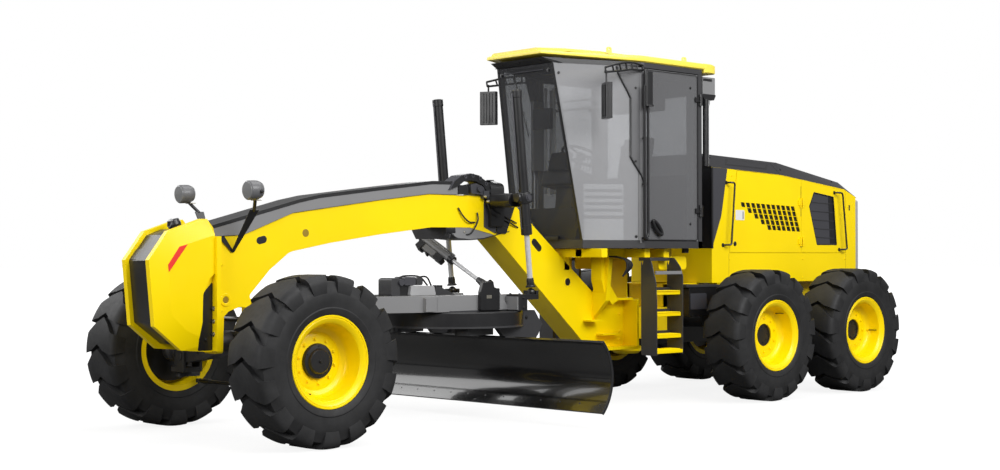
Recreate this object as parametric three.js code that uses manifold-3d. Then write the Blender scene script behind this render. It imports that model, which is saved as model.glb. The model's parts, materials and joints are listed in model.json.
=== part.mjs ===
// Motor grader: rear chassis with hood and tandems, front chassis with cab, drawbar, circle and blade.
// Millimetres, +Z up. Inside the machine group y = 0 is the front axle and +Y runs to the rear.
import * as THREE from 'three';
import Module from 'manifold-3d';
import { mergeVertices } from 'three/addons/utils/BufferGeometryUtils.js';
import { ConvexGeometry } from 'three/addons/geometries/ConvexGeometry.js';

const wasm = await Module();
wasm.setup();

// ---------- driving dimensions ----------
const FIT = 0.3;                 // gap between two pieces that touch
const RUN = 0.5;                 // radial gap of a rod in its tube
const ROUND = 24;                // segments of large round pieces
const SMALL_ROUND = 12;          // segments of pins and rods
const HINGE_ROUND = 8;           // segments of door hinges

const wheelbase = 6200;          // front axle to the middle of the tandems
const tandemBase = 1538;         // between the two wheels of a tandem
const track = 2155;              // tyre middle to tyre middle
const tyreRadius = 650;
const tyreWidth = 445;
const rim = { flangeRadius: 352, halfWidth: 200, barrelRadius: 318, wall: 12, discInner: -105,
    hubRadius: 120 };

const noseFront = -902;          // foremost face of the push block
const hoodRear = 7925;           // rearmost face of the hood
const artY = 4640;               // articulation pin
const artPin = 45;
const beamHalf = 145;            // half width of the front frame box

const headLug = { front: -180, rear: 130 };   // faces of the head's lugs that hold the axle
const leanPin = 20;
const lean = { x: 700, z: 600, barZ: 930, plate: 26, gap: 65.3 };
const kingpin = { x: 830, radius: 55, pin: 33, armY: 170, armZ: 440 };
const tieDrop = 60;              // tie rod below the knuckle arms

const drawPivot = { y: 300, z: 880, ball: 70 };
const circle = { y: 2300, outer: 650, inner: 520, top: 949.7, height: 145, angle: 3.3 };
const drawbarDims = { top: 1090, bottom: 950 };
const blade = { length: 3660, bottom: 147, top: 725, edgeY: 2240, sag: 122, thick: 22 };
const tilt = { x: 430, y: 200, z: 330, boss: 45, pin: 18 };   // blade tilt pivot, from the circle's middle
const lift = { x: 540, topY: 2593, topZ: 2916, ballY: 2778, ballZ: 1110, pinZ: 1960, endZ: 1626,
    tube: 48, rod: 25 };
const shift = { head: [-600, 2400, 1640], eye: [200, 2500, 1190], tube: 40, rod: 20, tubeLength: 515,
    stroke: 216, yoke: 34 };

const cab = {
  floor: 1510, floorTop: 1560, sillTop: 3285, rearY: 4965, doorFrontY: 4110, side: 720,
  frontBottom: [475, 3530], frontTop: [380, 3210], glass: 8, post: 45,
};
const doorHinge = { x: 735, y: 4935, pin: 10, boss: 18, height: 60, z: [1850, 2950] };
const roof = { front: [370, 3070], side: 735, rearY: 5200, edge: 55, crown: 80 };
const hood = { half: 550, front: 5325, skirt: 1160, wall: 8, doorLow: 1465, doorTop: 2120, doorGap: 5 };
const hoodDoors = [[5575, 6800], [6890, 7640]];    // openings of the front and rear engine doors
const hoodHinge = { out: 13, inset: 25, pin: 5, boss: 10, height: 60, z: [1560, 1980] };
const noseHalf = { slab: 152, rim: 205, side: 232 };
const ladder = {
  plates: [4190, 4570], thick: 10, inner: 600, outer: 800, low: 480, steps: [500, 650, 860, 1070, 1240],
};
const flange = { front: -340, rear: -300 };        // mounting plate of the push block

// ---------- colours ----------
const paint = (color, roughness, metalness = 0) => new THREE.MeshStandardMaterial({ color, roughness,
    metalness });
const YELLOW = paint(0xf7d400, 0.35);
const GREY = paint(0x3b3b3d, 0.5);
const BLACK = paint(0x151515, 0.45);
const RUBBER = paint(0x1b1b1b, 0.85);
const CHROME = paint(0xd8d8d8, 0.15, 1);
const GLASS = paint(0x5a5c5e, 0.1);
const STEEL = paint(0x0d0d0d, 0.2, 0.6);

// ---------- geometry helpers ----------
function solid(geometry) {
  const bare = geometry.clone();
  bare.deleteAttribute('normal');
  bare.deleteAttribute('uv');
  const merged = mergeVertices(bare, 1e-3);
  const index = merged.index.array;
  return new wasm.Manifold(new wasm.Mesh({
    numProp: 3,
    vertProperties: new Float32Array(merged.attributes.position.array),
    triVerts: new Uint32Array(index),
  }));
}

const join = (...parts) => parts.reduce((a, b) => a.add(b));
const cut = (body, ...tools) => tools.reduce((a, b) => a.subtract(b), body);

function mesh(name, body, material) {
  const { vertProperties, triVerts } = body.getMesh();
  const geometry = new THREE.BufferGeometry();
  geometry.setAttribute('position', new THREE.BufferAttribute(vertProperties, 3));
  geometry.setIndex(new THREE.BufferAttribute(triVerts, 1));
  geometry.computeVertexNormals();
  const result = new THREE.Mesh(geometry, material);
  result.name = name;
  return result;
}

const outline = (points) => new THREE.Shape(points.map(([u, v]) => new THREE.Vector2(u, v)));
const extrude = (points, depth) => new THREE.ExtrudeGeometry(outline(points), { depth,
    bevelEnabled: false });

// A profile of [y, z] points, from x0 to x1.
function prismX(points, x0, x1) {
  const basis = new THREE.Matrix4().makeBasis(
    new THREE.Vector3(0, 1, 0), new THREE.Vector3(0, 0, 1), new THREE.Vector3(1, 0, 0));
  return solid(extrude(points, x1 - x0).applyMatrix4(basis).translate(x0, 0, 0));
}

// A profile of [x, z] points, from y0 to y1.
function prismY(points, y0, y1) {
  const basis = new THREE.Matrix4().makeBasis(
    new THREE.Vector3(1, 0, 0), new THREE.Vector3(0, 0, 1), new THREE.Vector3(0, -1, 0));
  return solid(extrude(points, y1 - y0).applyMatrix4(basis).translate(0, y1, 0));
}

// A profile of [x, y] points, from z0 to z1.
const prismZ = (points, z0, z1) => solid(extrude(points, z1 - z0).translate(0, 0, z0));

function block(x0, x1, y0, y1, z0, z1) {
  const box = new THREE.BoxGeometry(x1 - x0, y1 - y0, z1 - z0);
  return solid(box.translate((x0 + x1) / 2, (y0 + y1) / 2, (z0 + z1) / 2));
}

const hull = (points) => solid(new ConvexGeometry(points.map((p) => new THREE.Vector3(...p))));

// A profile of [radius, height] points turned about the Z axis.
function turned(points, segments = ROUND) {
  const profile = points.map(([r, h]) => new THREE.Vector2(r, h));
  return solid(new THREE.LatheGeometry(profile, segments).rotateX(Math.PI / 2));
}

// The same about the X axis (heights along +X) and about the Y axis (heights along +Y).
const turnedX = (points, segments) => turned(points, segments).rotate([0, 90, 0]);
const turnedY = (points, segments) => turned(points, segments).rotate([-90, 0, 0]);

const rodProfile = (radius, h0, h1) => [[0, h0], [radius, h0], [radius, h1], [0, h1]];
const rodX = (r, x0, x1, y, z, n = SMALL_ROUND) => turnedX(rodProfile(r, x0, x1), n).translate([0, y, z]);
const rodY = (r, y0, y1, x, z, n = SMALL_ROUND) => turnedY(rodProfile(r, y0, y1), n).translate([x, 0, z]);
const rodZ = (r, z0, z1, x, y, n = SMALL_ROUND) => turned(rodProfile(r, z0, z1), n).translate([x, y, 0]);

// Radius of a hole that clears a turning pin of as many sides.
const holeFor = (pin, n = SMALL_ROUND) => (pin + FIT) / Math.cos(Math.PI / n);

const flipX = (points) => points.map(([x, z]) => [-x, z]).reverse();
const sides = [['left', 1], ['right', -1]];
const span = (s, near, far) => (s > 0 ? [near, far] : [-far, -near]);
const onSide = (body, s) => (s > 0 ? body : body.mirror([1, 0, 0]));

const machine = new THREE.Group();
machine.position.y = -(noseFront + hoodRear) / 2;

// ---------- wheels ----------
function tyreBody() {
  const { flangeRadius, halfWidth, barrelRadius } = rim;
  const crown = tyreRadius / Math.cos(Math.PI / ROUND);
  const bead = halfWidth - 15 - FIT;
  const half = [
    [crown, tyreWidth / 2 - 45], [crown - 60, tyreWidth / 2],
    [flangeRadius + 1, halfWidth + 6], [flangeRadius + 1, bead], [barrelRadius + 0.5, bead],
  ];
  const profile = [...half, ...half.map(([r, h]) => [r, -h]).reverse()];
  return turned([...profile, profile[0]], ROUND).rotate([0, 0, 180 / ROUND]);
}

function rimBody() {
  const { flangeRadius, halfWidth, barrelRadius, wall, discInner, hubRadius } = rim;
  const inside = barrelRadius - wall;
  const profile = [
    [0, discInner], [inside, discInner], [inside, -halfWidth],
    [flangeRadius, -halfWidth], [flangeRadius, -halfWidth + 15], [barrelRadius, -halfWidth + 15],
    [barrelRadius, halfWidth - 15], [flangeRadius, halfWidth - 15], [flangeRadius, halfWidth],
    [inside, halfWidth], [inside, discInner + 22],
    [hubRadius, discInner + 22], [hubRadius, discInner + 60], [0, discInner + 60],
  ];
  return turned(profile, ROUND).rotate([0, 0, 180 / ROUND]);
}

function wheel(tag, s, y) {
  const group = new THREE.Group();
  group.position.set((s * track) / 2, y, tyreRadius);
  group.rotation.y = (s * Math.PI) / 2;
  group.add(mesh(`tyre_${tag}`, tyreBody(), RUBBER), mesh(`rim_${tag}`, rimBody(), YELLOW));
  machine.add(group);
}

function wheels() {
  const rearY = [wheelbase - tandemBase / 2, wheelbase + tandemBase / 2];
  for (const [side, s] of sides) {
    wheel(`front_${side}`, s, 0);
    wheel(`middle_${side}`, s, rearY[0]);
    wheel(`rear_${side}`, s, rearY[1]);
  }
}

// Where a hub's back face is, measured from the machine's middle.
const hubBack = track / 2 + rim.discInner - FIT;

// ---------- front axle, lean brackets, knuckles ----------
function frontAxle() {
  const half = [[0, 660], [120, 660], [300, 610], [640, 552], [640, 648], [350, 745], [150, 835], [0, 835]];
  const beam = prismY([...half, ...flipX(half.slice(1, -1))], -lean.gap + FIT, lean.gap - FIT);
  const lugs = sides.map(([, s]) => rodY(52, -lean.gap + FIT, lean.gap - FIT, s * lean.x, lean.z, ROUND));
  const arms = sides.map(([, s]) => block(...span(s, 600, lean.x),
    -lean.gap + FIT, lean.gap - FIT, lean.z - 45, lean.z + 45));
  const hub = rodY(85, headLug.front + FIT, headLug.rear - FIT, 0, 750, ROUND);
  const holes = sides.map(([, s]) => rodY(holeFor(leanPin), -lean.gap, lean.gap, s * lean.x, lean.z));
  machine.add(mesh('front_axle', cut(join(beam, ...lugs, ...arms, hub), ...holes), GREY));
}

function leanBracket() {
  const { x, z, barZ, plate, gap } = lean;
  const side = [[x - 55, z - 130], [x + 70, z - 130], [x + 70, barZ - 30], [x + 30, barZ + 40],
    [x - 30, barZ + 40], [x - 55, barZ - 30]];
  const plates = [-gap - plate, gap].map((y) => prismY(side, y, y + plate));
  const arm = (z0, z1) => block(x - 50, kingpin.x + 60, -gap - plate, gap + plate, z0, z1);
  const upper = arm(tyreRadius + 135, tyreRadius + 175);
  const lower = arm(z - 130, z - 90);
  const holes = rodZ(holeFor(kingpin.pin), z - 140, barZ, kingpin.x, 0);
  const pins = [z, barZ].map((pz) => rodY(leanPin, -gap - plate, gap + plate, x, pz));
  return join(cut(join(...plates, upper, lower), holes), ...pins);
}

function knuckle() {
  const { x, radius, armY, armZ } = kingpin;
  const low = lean.z - 90 + FIT;
  const high = tyreRadius + 135 - FIT;
  const barrel = rodZ(radius, low, high, x, 0, ROUND);
  const pin = rodZ(kingpin.pin, armZ - 20, tyreRadius + 190, x, 0);
  const spindle = rodX(80, x, hubBack, 0, tyreRadius, ROUND);
  const plate = prismZ([[x - 30, -40], [x + 30, -40], [x + 30, armY], [x - 30, armY]], armZ - 20,
      armZ + 20);
  return join(barrel, pin, spindle, plate);
}

function steering() {
  for (const [side, s] of sides) {
    machine.add(mesh(`lean_bracket_${side}`, onSide(leanBracket(), s), GREY));
    machine.add(mesh(`knuckle_${side}`, onSide(knuckle(), s), GREY));
  }
  const { x, barZ, gap } = lean;
  const eyes = sides.map(([, s]) => rodY(34, -gap + 20, gap - 20, s * x, barZ, SMALL_ROUND));
  const bar = join(rodX(22, -x, x, 0, barZ), ...eyes);
  machine.add(mesh('lean_bar', cut(bar, ...sides.map(([, s]) => rodY(holeFor(leanPin), -gap, gap, s * x,
      barZ))), GREY));
  const { x: kx, armY, armZ } = kingpin;
  const tieZ = armZ - tieDrop;
  const end = join(rodY(22, armY - 24, armY + 24, kx, tieZ), rodZ(12, tieZ, armZ - 20 - FIT, kx, armY));
  machine.add(mesh('tie_rod_end', end, GREY));
  const tie = rodX(16, -kx, kx - 22 - FIT, armY, tieZ);
  machine.add(mesh('tie_rod', join(tie, rodZ(24, tieZ - 18, tieZ + 18, -kx, armY)), GREY));
}

// ---------- front frame ----------
const frameTop = 1984;
function frontFrame() {
  const profile = [
    [flange.front, 700], [headLug.front, 665], [headLug.front, 850], [-57, 1034], [headLug.rear, 1100],
    [headLug.rear, 665], [drawPivot.y - drawPivot.ball - FIT, 665],
    [drawPivot.y - drawPivot.ball - FIT, 1325], [422, 1471], [825, 1546], [1355, 1622], [1939, 1691],
        [2389, 1693],
    [2696, 1629], [3953, 520], [4500, 520], [4500, 1004], [4096, 1004], [2949, 1910], [2800, frameTop],
    [1904, frameTop], [1355, 1918], [450, 1790], [-30, 1605], [flange.front, 1590],
  ];
  const beam = prismX(profile, -beamHalf, beamHalf);
  const ear = (z0, z1) => join(block(-120, 120, 4480, artY, z0, z1), rodZ(120, z0, z1, 0, artY, ROUND));
  const plate = block(-noseHalf.side + 20, noseHalf.side - 20, flange.front, flange.rear, 700, 1590);
  const ears = join(ear(940, 1004), ear(520, 584));
  const pin = rodZ(artPin, 560, 960, 0, artY, ROUND);
  const rails = sides.map(([, s]) => block(...span(s, 300, 380),
    3600, 4900, 1420, cab.floor - FIT));
  const bars = [3600, 4200, 4480].map((y) => block(-640, 640, y, y + 80, 1420, cab.floor - FIT));
  const posts = [block(-beamHalf, beamHalf, 4480, 4499, 1000, 1430), block(-beamHalf, beamHalf, 3600,
      3680, 1300, 1430)];
  const brackets = sides.map(([, s]) => prismY(
    [[s * 100, 760], [s * 330, 1000], [s * 380, 1430], [s * 300, 1430], [s * 100, 960]], 3980, 4040));
  machine.add(mesh('front_frame', join(beam, plate, ears, pin, ...rails, ...bars, ...posts, ...brackets),
      YELLOW));
}

function beamCover() {
  const profile = [[flange.front, 1590 + FIT], [-30, 1605 + FIT], [450, 1790 + FIT], [1355, 1918 + FIT],
    [1904, frameTop + FIT], [2250, frameTop + FIT], [2250, 2095], [1939, 2087], [1355, 2016], [722, 1935],
    [516, 1892], [flange.front, 1660]];
  machine.add(mesh('beam_cover', prismX(profile, -beamHalf - 15, beamHalf + 15), GREY));
}

function noseWeight() {
  const back = flange.front - FIT;
  const { slab, rim: face, side } = noseHalf;
  const faceLine = [[back, 690], [-622, 714], [-854, 905], [noseFront, 1409], [-739, 1629], [-445, 1727],
    [-395, 1727], [back, 1660]];
  const sideLine = [[back, 760], [-592, 866], [-720, 986], [-747, 1386], [-651, 1513], [back, 1600]];
  const recess = [[back + 10, 740], [-480, 740], [-480, 796], [-450, 925], [-445, 1140], [-388, 1261],
      [back + 10, 1261]];
  const inner = [[back, 760], [-575, 780], [-755, 920], [-805, 1400], [-655, 1560], [back, 1560]];
  const cheeks = sides.map(([, s]) => {
    const body = hull([...faceLine.flatMap(([y, z]) => [[s * slab, y, z], [s * face, y, z]]),
      ...sideLine.map(([y, z]) => [s * side, y, z])]);
    return cut(body, prismX(recess, ...span(s, face + 10, side + 10)));
  });
  machine.add(mesh('nose_weight', join(...cheeks, prismX(inner, -slab - 1, slab + 1)), YELLOW));
}

// ---------- saddle and lift cylinders ----------
const liftDir = new THREE.Vector3(0, lift.ballY - lift.topY, lift.ballZ - lift.topZ).normalize();
const liftPinY = lift.topY + ((lift.ballY - lift.topY) * (lift.topZ - lift.pinZ)) / (lift.topZ - lift.ballZ);

function saddle() {
  const y0 = 2380;
  const y1 = 2780;
  const inner = beamHalf + FIT;
  const half = [[inner + 45, 1700], [inner + 45, 2100], [60, 2130], [-60, 2130], [-inner - 45, 2100],
    [-inner - 45, 1700], [-inner, 1700], [-inner, frameTop + FIT], [inner, frameTop + FIT], [inner, 1700]];
  const body = prismY(half, y0, y1);
  const collar = lift.tube + 7 + FIT;
  const forks = sides.map(([, s]) => {
    const arm = block(...span(s, inner + 20, lift.x + 35),
      liftPinY - collar - 26, liftPinY + collar + 26, lift.pinZ - 35, lift.pinZ + 35);
    const slot = block(...span(s, 430, lift.x + 40),
      liftPinY - collar, liftPinY + collar, lift.pinZ - 60, lift.pinZ + 60);
    return cut(arm, slot);
  });
  const [hx, hy, hz] = shift.head;
  const hanger = join(block(hx - 30, -inner - 10, hy - 20, hy + 40, 1710, 1770),
    rodZ(22, hz + shift.yoke + FIT, 1720, hx, hy));
  machine.add(mesh('saddle', join(body, ...forks, hanger), BLACK));
}

// Moves a body built along +Z from the origin onto an axis through a point.
function onAxis(body, origin, direction) {
  const matrix = new THREE.Matrix4().makeRotationFromQuaternion(
    new THREE.Quaternion().setFromUnitVectors(new THREE.Vector3(0, 0, 1), direction.clone().normalize()));
  return body.transform(matrix.setPosition(...origin).elements);
}

function liftCylinders() {
  const down = (z) => (z - lift.pinZ) / liftDir.z;
  const bore = lift.rod + RUN;
  const start = down(lift.topZ);
  const end = down(lift.endZ);
  const eye = down(lift.ballZ) - 44;
  for (const [side, s] of sides) {
    const origin = [s * lift.x, liftPinY, lift.pinZ];
    const barrel = turned(rodProfile(lift.tube, start, end), SMALL_ROUND);
    const hollow = turned(rodProfile(bore, start + 40, end + 10), SMALL_ROUND);
    const collar = rodY(34, liftPinY - lift.tube - 7, liftPinY + lift.tube + 7, s * lift.x, lift.pinZ);
    const tube = cut(join(onAxis(barrel, origin, liftDir), collar), onAxis(hollow, origin, liftDir));
    machine.add(mesh(`lift_tube_${side}`, tube, BLACK));
    const rod = join(turned(rodProfile(lift.rod, end - 700, eye - 30), SMALL_ROUND),
      turned(rodProfile(38, eye - 60, eye), SMALL_ROUND));
    machine.add(mesh(`lift_rod_${side}`, onAxis(rod, origin, liftDir), CHROME));
  }
}

function shiftCylinder() {
  const head = new THREE.Vector3(...shift.head);
  const along = new THREE.Vector3(...shift.eye).sub(head);
  const length = along.length();
  const bore = shift.rod + RUN;
  const bottom = 72;
  const barrel = cut(turned(rodProfile(shift.tube, 60, shift.tubeLength), SMALL_ROUND),
    turned(rodProfile(bore, bottom, shift.tubeLength + 10), SMALL_ROUND));
  const neck = turned(rodProfile(22, shift.yoke + 0.5, 70), SMALL_ROUND);
  machine.add(mesh('shift_tube', onAxis(join(barrel, neck), shift.head, along), BLACK));
  const rod = join(turned(rodProfile(shift.rod, bottom + shift.stroke + 2, length), SMALL_ROUND),
    turned(rodProfile(34, length - 20, length + 30), SMALL_ROUND));
  machine.add(mesh('shift_rod', onAxis(rod, shift.head, along), CHROME));
  const ball = new THREE.SphereGeometry(shift.yoke, SMALL_ROUND, SMALL_ROUND / 2);
  machine.add(mesh('shift_yoke', solid(ball).translate(shift.head), BLACK));
}

// ---------- drawbar, circle, blade ----------
function drawbarAssembly() {
  const { y, z, ball } = drawPivot;
  const { top, bottom } = drawbarDims;
  const sphere = solid(new THREE.SphereGeometry(ball, SMALL_ROUND, SMALL_ROUND / 2)).translate([0, y, z]);
  machine.add(mesh('drawbar_ball', sphere, STEEL));
  const front = y + ball + FIT;
  const beams = sides.map(([, s]) => prismZ(
    s > 0 ? [[-70, front], [70, front], [70, 700], [430, 1750], [430, 2700], [290, 2700], [290, 1780],
        [-30, 700]]
      : [[-70, front], [70, front], [30, 700], [-290, 1780], [-290, 2700], [-430, 2700], [-430, 1750],
          [-70, 700]],
    bottom, top));
  const tongue = block(-70, 70, front, 760, 815, top);
  const cross = [block(-430, 430, 1640, 1760, bottom, top - 20), block(-600, 600, 2660, 2840, bottom,
      top - 20)];
  const post = block(150, 250, 2560, 2660, bottom, 1100);
  const studs = sides.map(([, s]) => join(rodZ(28, top - 40, lift.ballZ, s * lift.x, lift.ballY),
    solid(new THREE.SphereGeometry(38, SMALL_ROUND, SMALL_ROUND / 2)).translate([s * lift.x, lift.ballY,
        lift.ballZ])));
  const motor = block(-130, 130, 1640, 1900, top - 30, 1200);
  machine.add(mesh('drawbar', join(...beams, tongue, ...cross, post, ...studs, motor), GREY));
}

const bladeGroup = new THREE.Group();
bladeGroup.position.set(0, circle.y, 0);
bladeGroup.rotation.z = THREE.MathUtils.degToRad(circle.angle);

function circleRing() {
  const { outer, inner, top, height } = circle;
  const low = top - height;
  const ring = cut(turned(rodProfile(outer, low, top), 48), turned(rodProfile(inner, low - 10, top + 10),
      48));
  const { y, z, boss } = tilt;
  const armSide = [[80, low + 20], [560, low + 20], [480, 500], [y + 60, z - 60], [y, z - boss], [y,
      z + boss],
    [330, 560], [200, 700], [80, 760]];
  const arms = sides.map(([, s]) => cut(
    join(prismX(armSide, ...span(s, tilt.x, tilt.x + 50)), rodX(boss, ...span(s, tilt.x, tilt.x + 50), y,
        z)),
    rodX(holeFor(tilt.pin), ...span(s, tilt.x - 10, tilt.x + 60), y, z)));
  bladeGroup.add(mesh('circle', join(ring, ...arms), GREY));
}

function moldboardProfile(offset) {
  const { bottom, top, sag } = blade;
  const half = (top - bottom) / 2;
  const radius = (half * half + sag * sag) / (2 * sag);
  const points = [];
  const swing = Math.asin(half / radius);
  for (let i = 0; i <= 10; i += 1) {
    const a = -swing + (2 * swing * i) / 10;
    points.push([(radius + offset) * Math.cos(a) - radius + sag,
        bottom + half + (radius + offset) * Math.sin(a)]);
  }
  return points;
}

function moldboard() {
  const dy = blade.edgeY - circle.y;
  const front = moldboardProfile(0).map(([y, z]) => [y + dy, z]);
  const back = moldboardProfile(blade.thick).map(([y, z]) => [y + dy, z]).reverse();
  const plate = prismX([...front, ...back], -blade.length / 2, blade.length / 2);
  const railY = dy + blade.sag + blade.thick - 12;
  const rails = [[330, 380], [560, 610]].map(([z0, z1]) => block(-900, 900, railY - 20, railY + 40, z0,
      z1));
  bladeGroup.add(mesh('moldboard', join(plate, ...rails), BLACK));
}

function bladeCarrier() {
  const dy = blade.edgeY - circle.y;
  const railY = dy + blade.sag + blade.thick - 12;
  const z = [[330, 380], [560, 610]];
  const bracket = (x0, x1) => {
    const base = block(x0, x1, railY + 14, railY + 90, 290, 640);
    const ear = join(block(x0, x1, railY + 60, tilt.y, tilt.z - 40, tilt.z + 40), rodX(40, x0, x1,
        tilt.y, tilt.z));
    const slots = z.map(([z0, z1]) => block(x0 - 5, x1 + 5, railY - 30, railY + 40 + FIT, z0 - FIT,
        z1 + FIT));
    return join(cut(base, ...slots), ear);
  };
  const brackets = sides.map(([, s]) => bracket(...span(s, 340, tilt.x - FIT)));
  const pins = sides.map(([, s]) => rodX(tilt.pin, ...span(s, tilt.x - 20, tilt.x + 50), tilt.y, tilt.z));
  const tie = rodX(30, -400, 400, railY + 60, 470);
  bladeGroup.add(mesh('blade_carrier', join(...brackets, ...pins, tie), GREY));
}

// ---------- cab ----------
const cabPlan = (inset, top) => {
  const [fx, fy] = top ? cab.frontTop : cab.frontBottom;
  return [[fx - inset, fy + inset], [cab.side - inset, cab.doorFrontY], [cab.side - inset,
      cab.rearY - inset]];
};

function cabHull(inset, z0, z1) {
  const t = (z) => (z - cab.floor) / (cab.sillTop - cab.floor);
  const at = (z) => {
    const low = cabPlan(inset, false);
    const high = cabPlan(inset, true);
    return low.map(([x, y], i) => [x + (high[i][0] - x) * t(z), y + (high[i][1] - y) * t(z), z]);
  };
  const ring = (z) => at(z).flatMap(([x, y, h]) => [[x, y, h], [-x, y, h]]);
  return hull([...ring(z0), ...ring(z1)]);
}

function cabFrame() {
  const { floor, floorTop, sillTop, rearY, doorFrontY, side, glass, post } = cab;
  const shell = cabHull(glass + FIT, floor, sillTop);
  const room = cabHull(glass + FIT + post, floorTop, sillTop + 10);
  const low = floorTop + 40;
  const high = sillTop - 60;
  const pane = (bottomPlan, topPlan) => hull([
    ...bottomPlan.map(([x, y]) => [x, y, low]), ...topPlan.map(([x, y]) => [x, y, high])]);
  const windows = [
    pane([[-400, 3100], [400, 3100], [-400, 3800], [400, 3800]], [[-310, 3100], [310, 3100], [-310,
        3800], [310, 3800]]),
    ...sides.map(([, s]) => pane([[s * 510, 3660], [s * 900, 3560], [s * 900, 4040], [s * 560, 4030]],
      [[s * 440, 3420], [s * 900, 3320], [s * 900, 4020], [s * 560, 4010]])),
    block(-side - 50, side + 50, doorFrontY + 4, rearY - 58, floorTop + 18, sillTop - 58),
    block(-560, 560, rearY - 150, rearY + 50, 2250, sillTop - 90),
  ];
  const { x, y, pin, boss, height, z } = doorHinge;
  const lug = (z0, s) => block(...span(s, side - 40, x + boss), y - boss, y + boss, z0, z0 + 25);
  const hinges = sides.flatMap(([, s]) => z.flatMap((h) => [
    lug(h - 25 - FIT, s), lug(h + height + FIT, s), rodZ(pin, h - 20, h + height + 20, s * x, y,
        HINGE_ROUND)]));
  machine.add(mesh('cab_frame', join(cut(shell, room, ...windows), ...hinges), GREY));
}

function cabGlass() {
  const { floor, sillTop, rearY, doorFrontY, side, glass } = cab;
  const shell = cut(cabHull(0, floor + 10, sillTop - 8), cabHull(glass, floor, sillTop));
  const behind = block(-side - 100, side + 100, doorFrontY - 60, rearY + 100, floor - 10, sillTop + 10);
  machine.add(mesh('front_glass', cut(shell, behind), GLASS));
  machine.add(mesh('rear_glass', block(-575, 575, rearY - glass, rearY, 2230, sillTop - 70), GLASS));
}

function cabDoors() {
  const { floorTop, sillTop, rearY, doorFrontY, side, glass } = cab;
  const { x, y, pin, boss, height, z } = doorHinge;
  const ring = { inner: side - glass - 30, width: 40, pane: 6 };
  const limits = [doorFrontY + 10, rearY - 64, floorTop + 24, sillTop - 64];
  const panel = cut(block(ring.inner, side, ...limits), block(ring.inner - 10, side - ring.pane,
    limits[0] + ring.width, limits[1] - ring.width, limits[2] + ring.width, limits[3] - ring.width));
  const hinges = z.map((h) => cut(
    join(block(side - 6, x, limits[1] - 30, y, h, h + height), rodZ(boss, h, h + height, x, y,
        HINGE_ROUND)),
    rodZ(holeFor(pin, HINGE_ROUND), h - 10, h + height + 10, x, y, HINGE_ROUND)));
  for (const [name, s] of sides) machine.add(mesh(`cab_door_${name}`, onSide(join(panel, ...hinges), s),
      GLASS));
}

function cabRoof() {
  const z = cab.sillTop + FIT;
  const [fx, fy] = roof.front;
  const plan = (inset) => [[fx - inset, fy + inset], [roof.side - inset, cab.doorFrontY],
    [roof.side - inset, cab.rearY + 40], [roof.side - 45 - inset, roof.rearY - inset]];
  const level = (inset, h) => plan(inset).flatMap(([x, y]) => [[x, y, z + h], [-x, y, z + h]]);
  machine.add(mesh('cab_roof', hull([...level(12, 0), ...level(0, 15), ...level(10, roof.edge),
    ...level(90, roof.crown)]), YELLOW));
}

function cabInside() {
  const z = cab.floorTop + FIT;
  const seat = join(block(-180, 180, 4300, 4650, z, z + 330), block(-260, 260, 4230, 4740, z + 300,
      z + 450),
    hull([[-240, 4640, z + 430], [240, 4640, z + 430], [-240, 4760, z + 430], [240, 4760, z + 430],
      [-220, 4760, z + 1080], [220, 4760, z + 1080], [-220, 4850, z + 1080], [220, 4850, z + 1080]]));
  machine.add(mesh('seat', seat, BLACK));
  const console = join(block(-120, 120, 3720, 3900, z, z + 640),
    hull([[-230, 3680, z + 620], [230, 3680, z + 620], [-230, 3960, z + 560], [230, 3960, z + 560],
      [-230, 3680, z + 700], [230, 3680, z + 700], [-230, 3960, z + 660], [230, 3960, z + 660]]));
  machine.add(mesh('console', console, BLACK));
}

function ladders() {
  const { plates, thick, inner, outer, low } = ladder;
  const top = 1420 - FIT;
  const middle = [plates[0] + thick / 2, plates[1] + thick / 2];
  for (const [side, s] of sides) {
    const walls = plates.map((y) => block(inner, outer, y, y + thick, low, top));
    const steps = ladder.steps.map((z) => block(inner + 5, outer, ...middle, z, z + 30));
    const hook = block(inner - 40, inner + 40, ...middle, top - 30, top);
    machine.add(mesh(`ladder_${side}`, onSide(join(...walls, ...steps, hook), s), YELLOW));
  }
}

// ---------- rear chassis ----------
function rearFrame() {
  const barrel = rodZ(110, 584 + FIT, 940 - FIT, 0, artY, ROUND);
  const neck = prismZ([[-110, artY], [110, artY], [300, 4950], [300, 5000], [-300, 5000], [-300, 4950]],
      600, 920);
  const rails = sides.map(([, s]) => block(...span(s, 230, 350), 4940, 7880, 880, hood.skirt - FIT));
  const cross = [4940, 5900, 7780].map((y) => block(-350, 350, y, y + 100, 880, hood.skirt - FIT));
  const drop = block(-300, 300, 4940, 5040, 600, 900);
  const sill = sides.map(([, s]) => block(...span(s, 340, hood.half), hood.front + 100, hood.front + 160,
      1080, hood.skirt - FIT));
  const sillRear = sides.map(([, s]) => block(...span(s, 340, hood.half), 7780, 7840, 1080,
      hood.skirt - FIT));
  const body = join(barrel, neck, ...rails, ...cross, drop, ...sill, ...sillRear);
  machine.add(mesh('rear_frame', cut(body, rodZ(holeFor(artPin, ROUND), 500, 1000, 0, artY, ROUND)),
      YELLOW));
}

function rearAxle() {
  const axle = turnedX([[0, -640], [110, -640], [110, -225], [190, -140], [190, 140], [110, 225], [110,
      640], [0, 640]], ROUND)
    .translate([0, wheelbase, 760]);
  const pads = sides.map(([, s]) => block(...span(s, 240, 340), wheelbase - 120, wheelbase + 120, 780,
      880 - FIT));
  machine.add(mesh('rear_axle', join(axle, ...pads), GREY));
}

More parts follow.
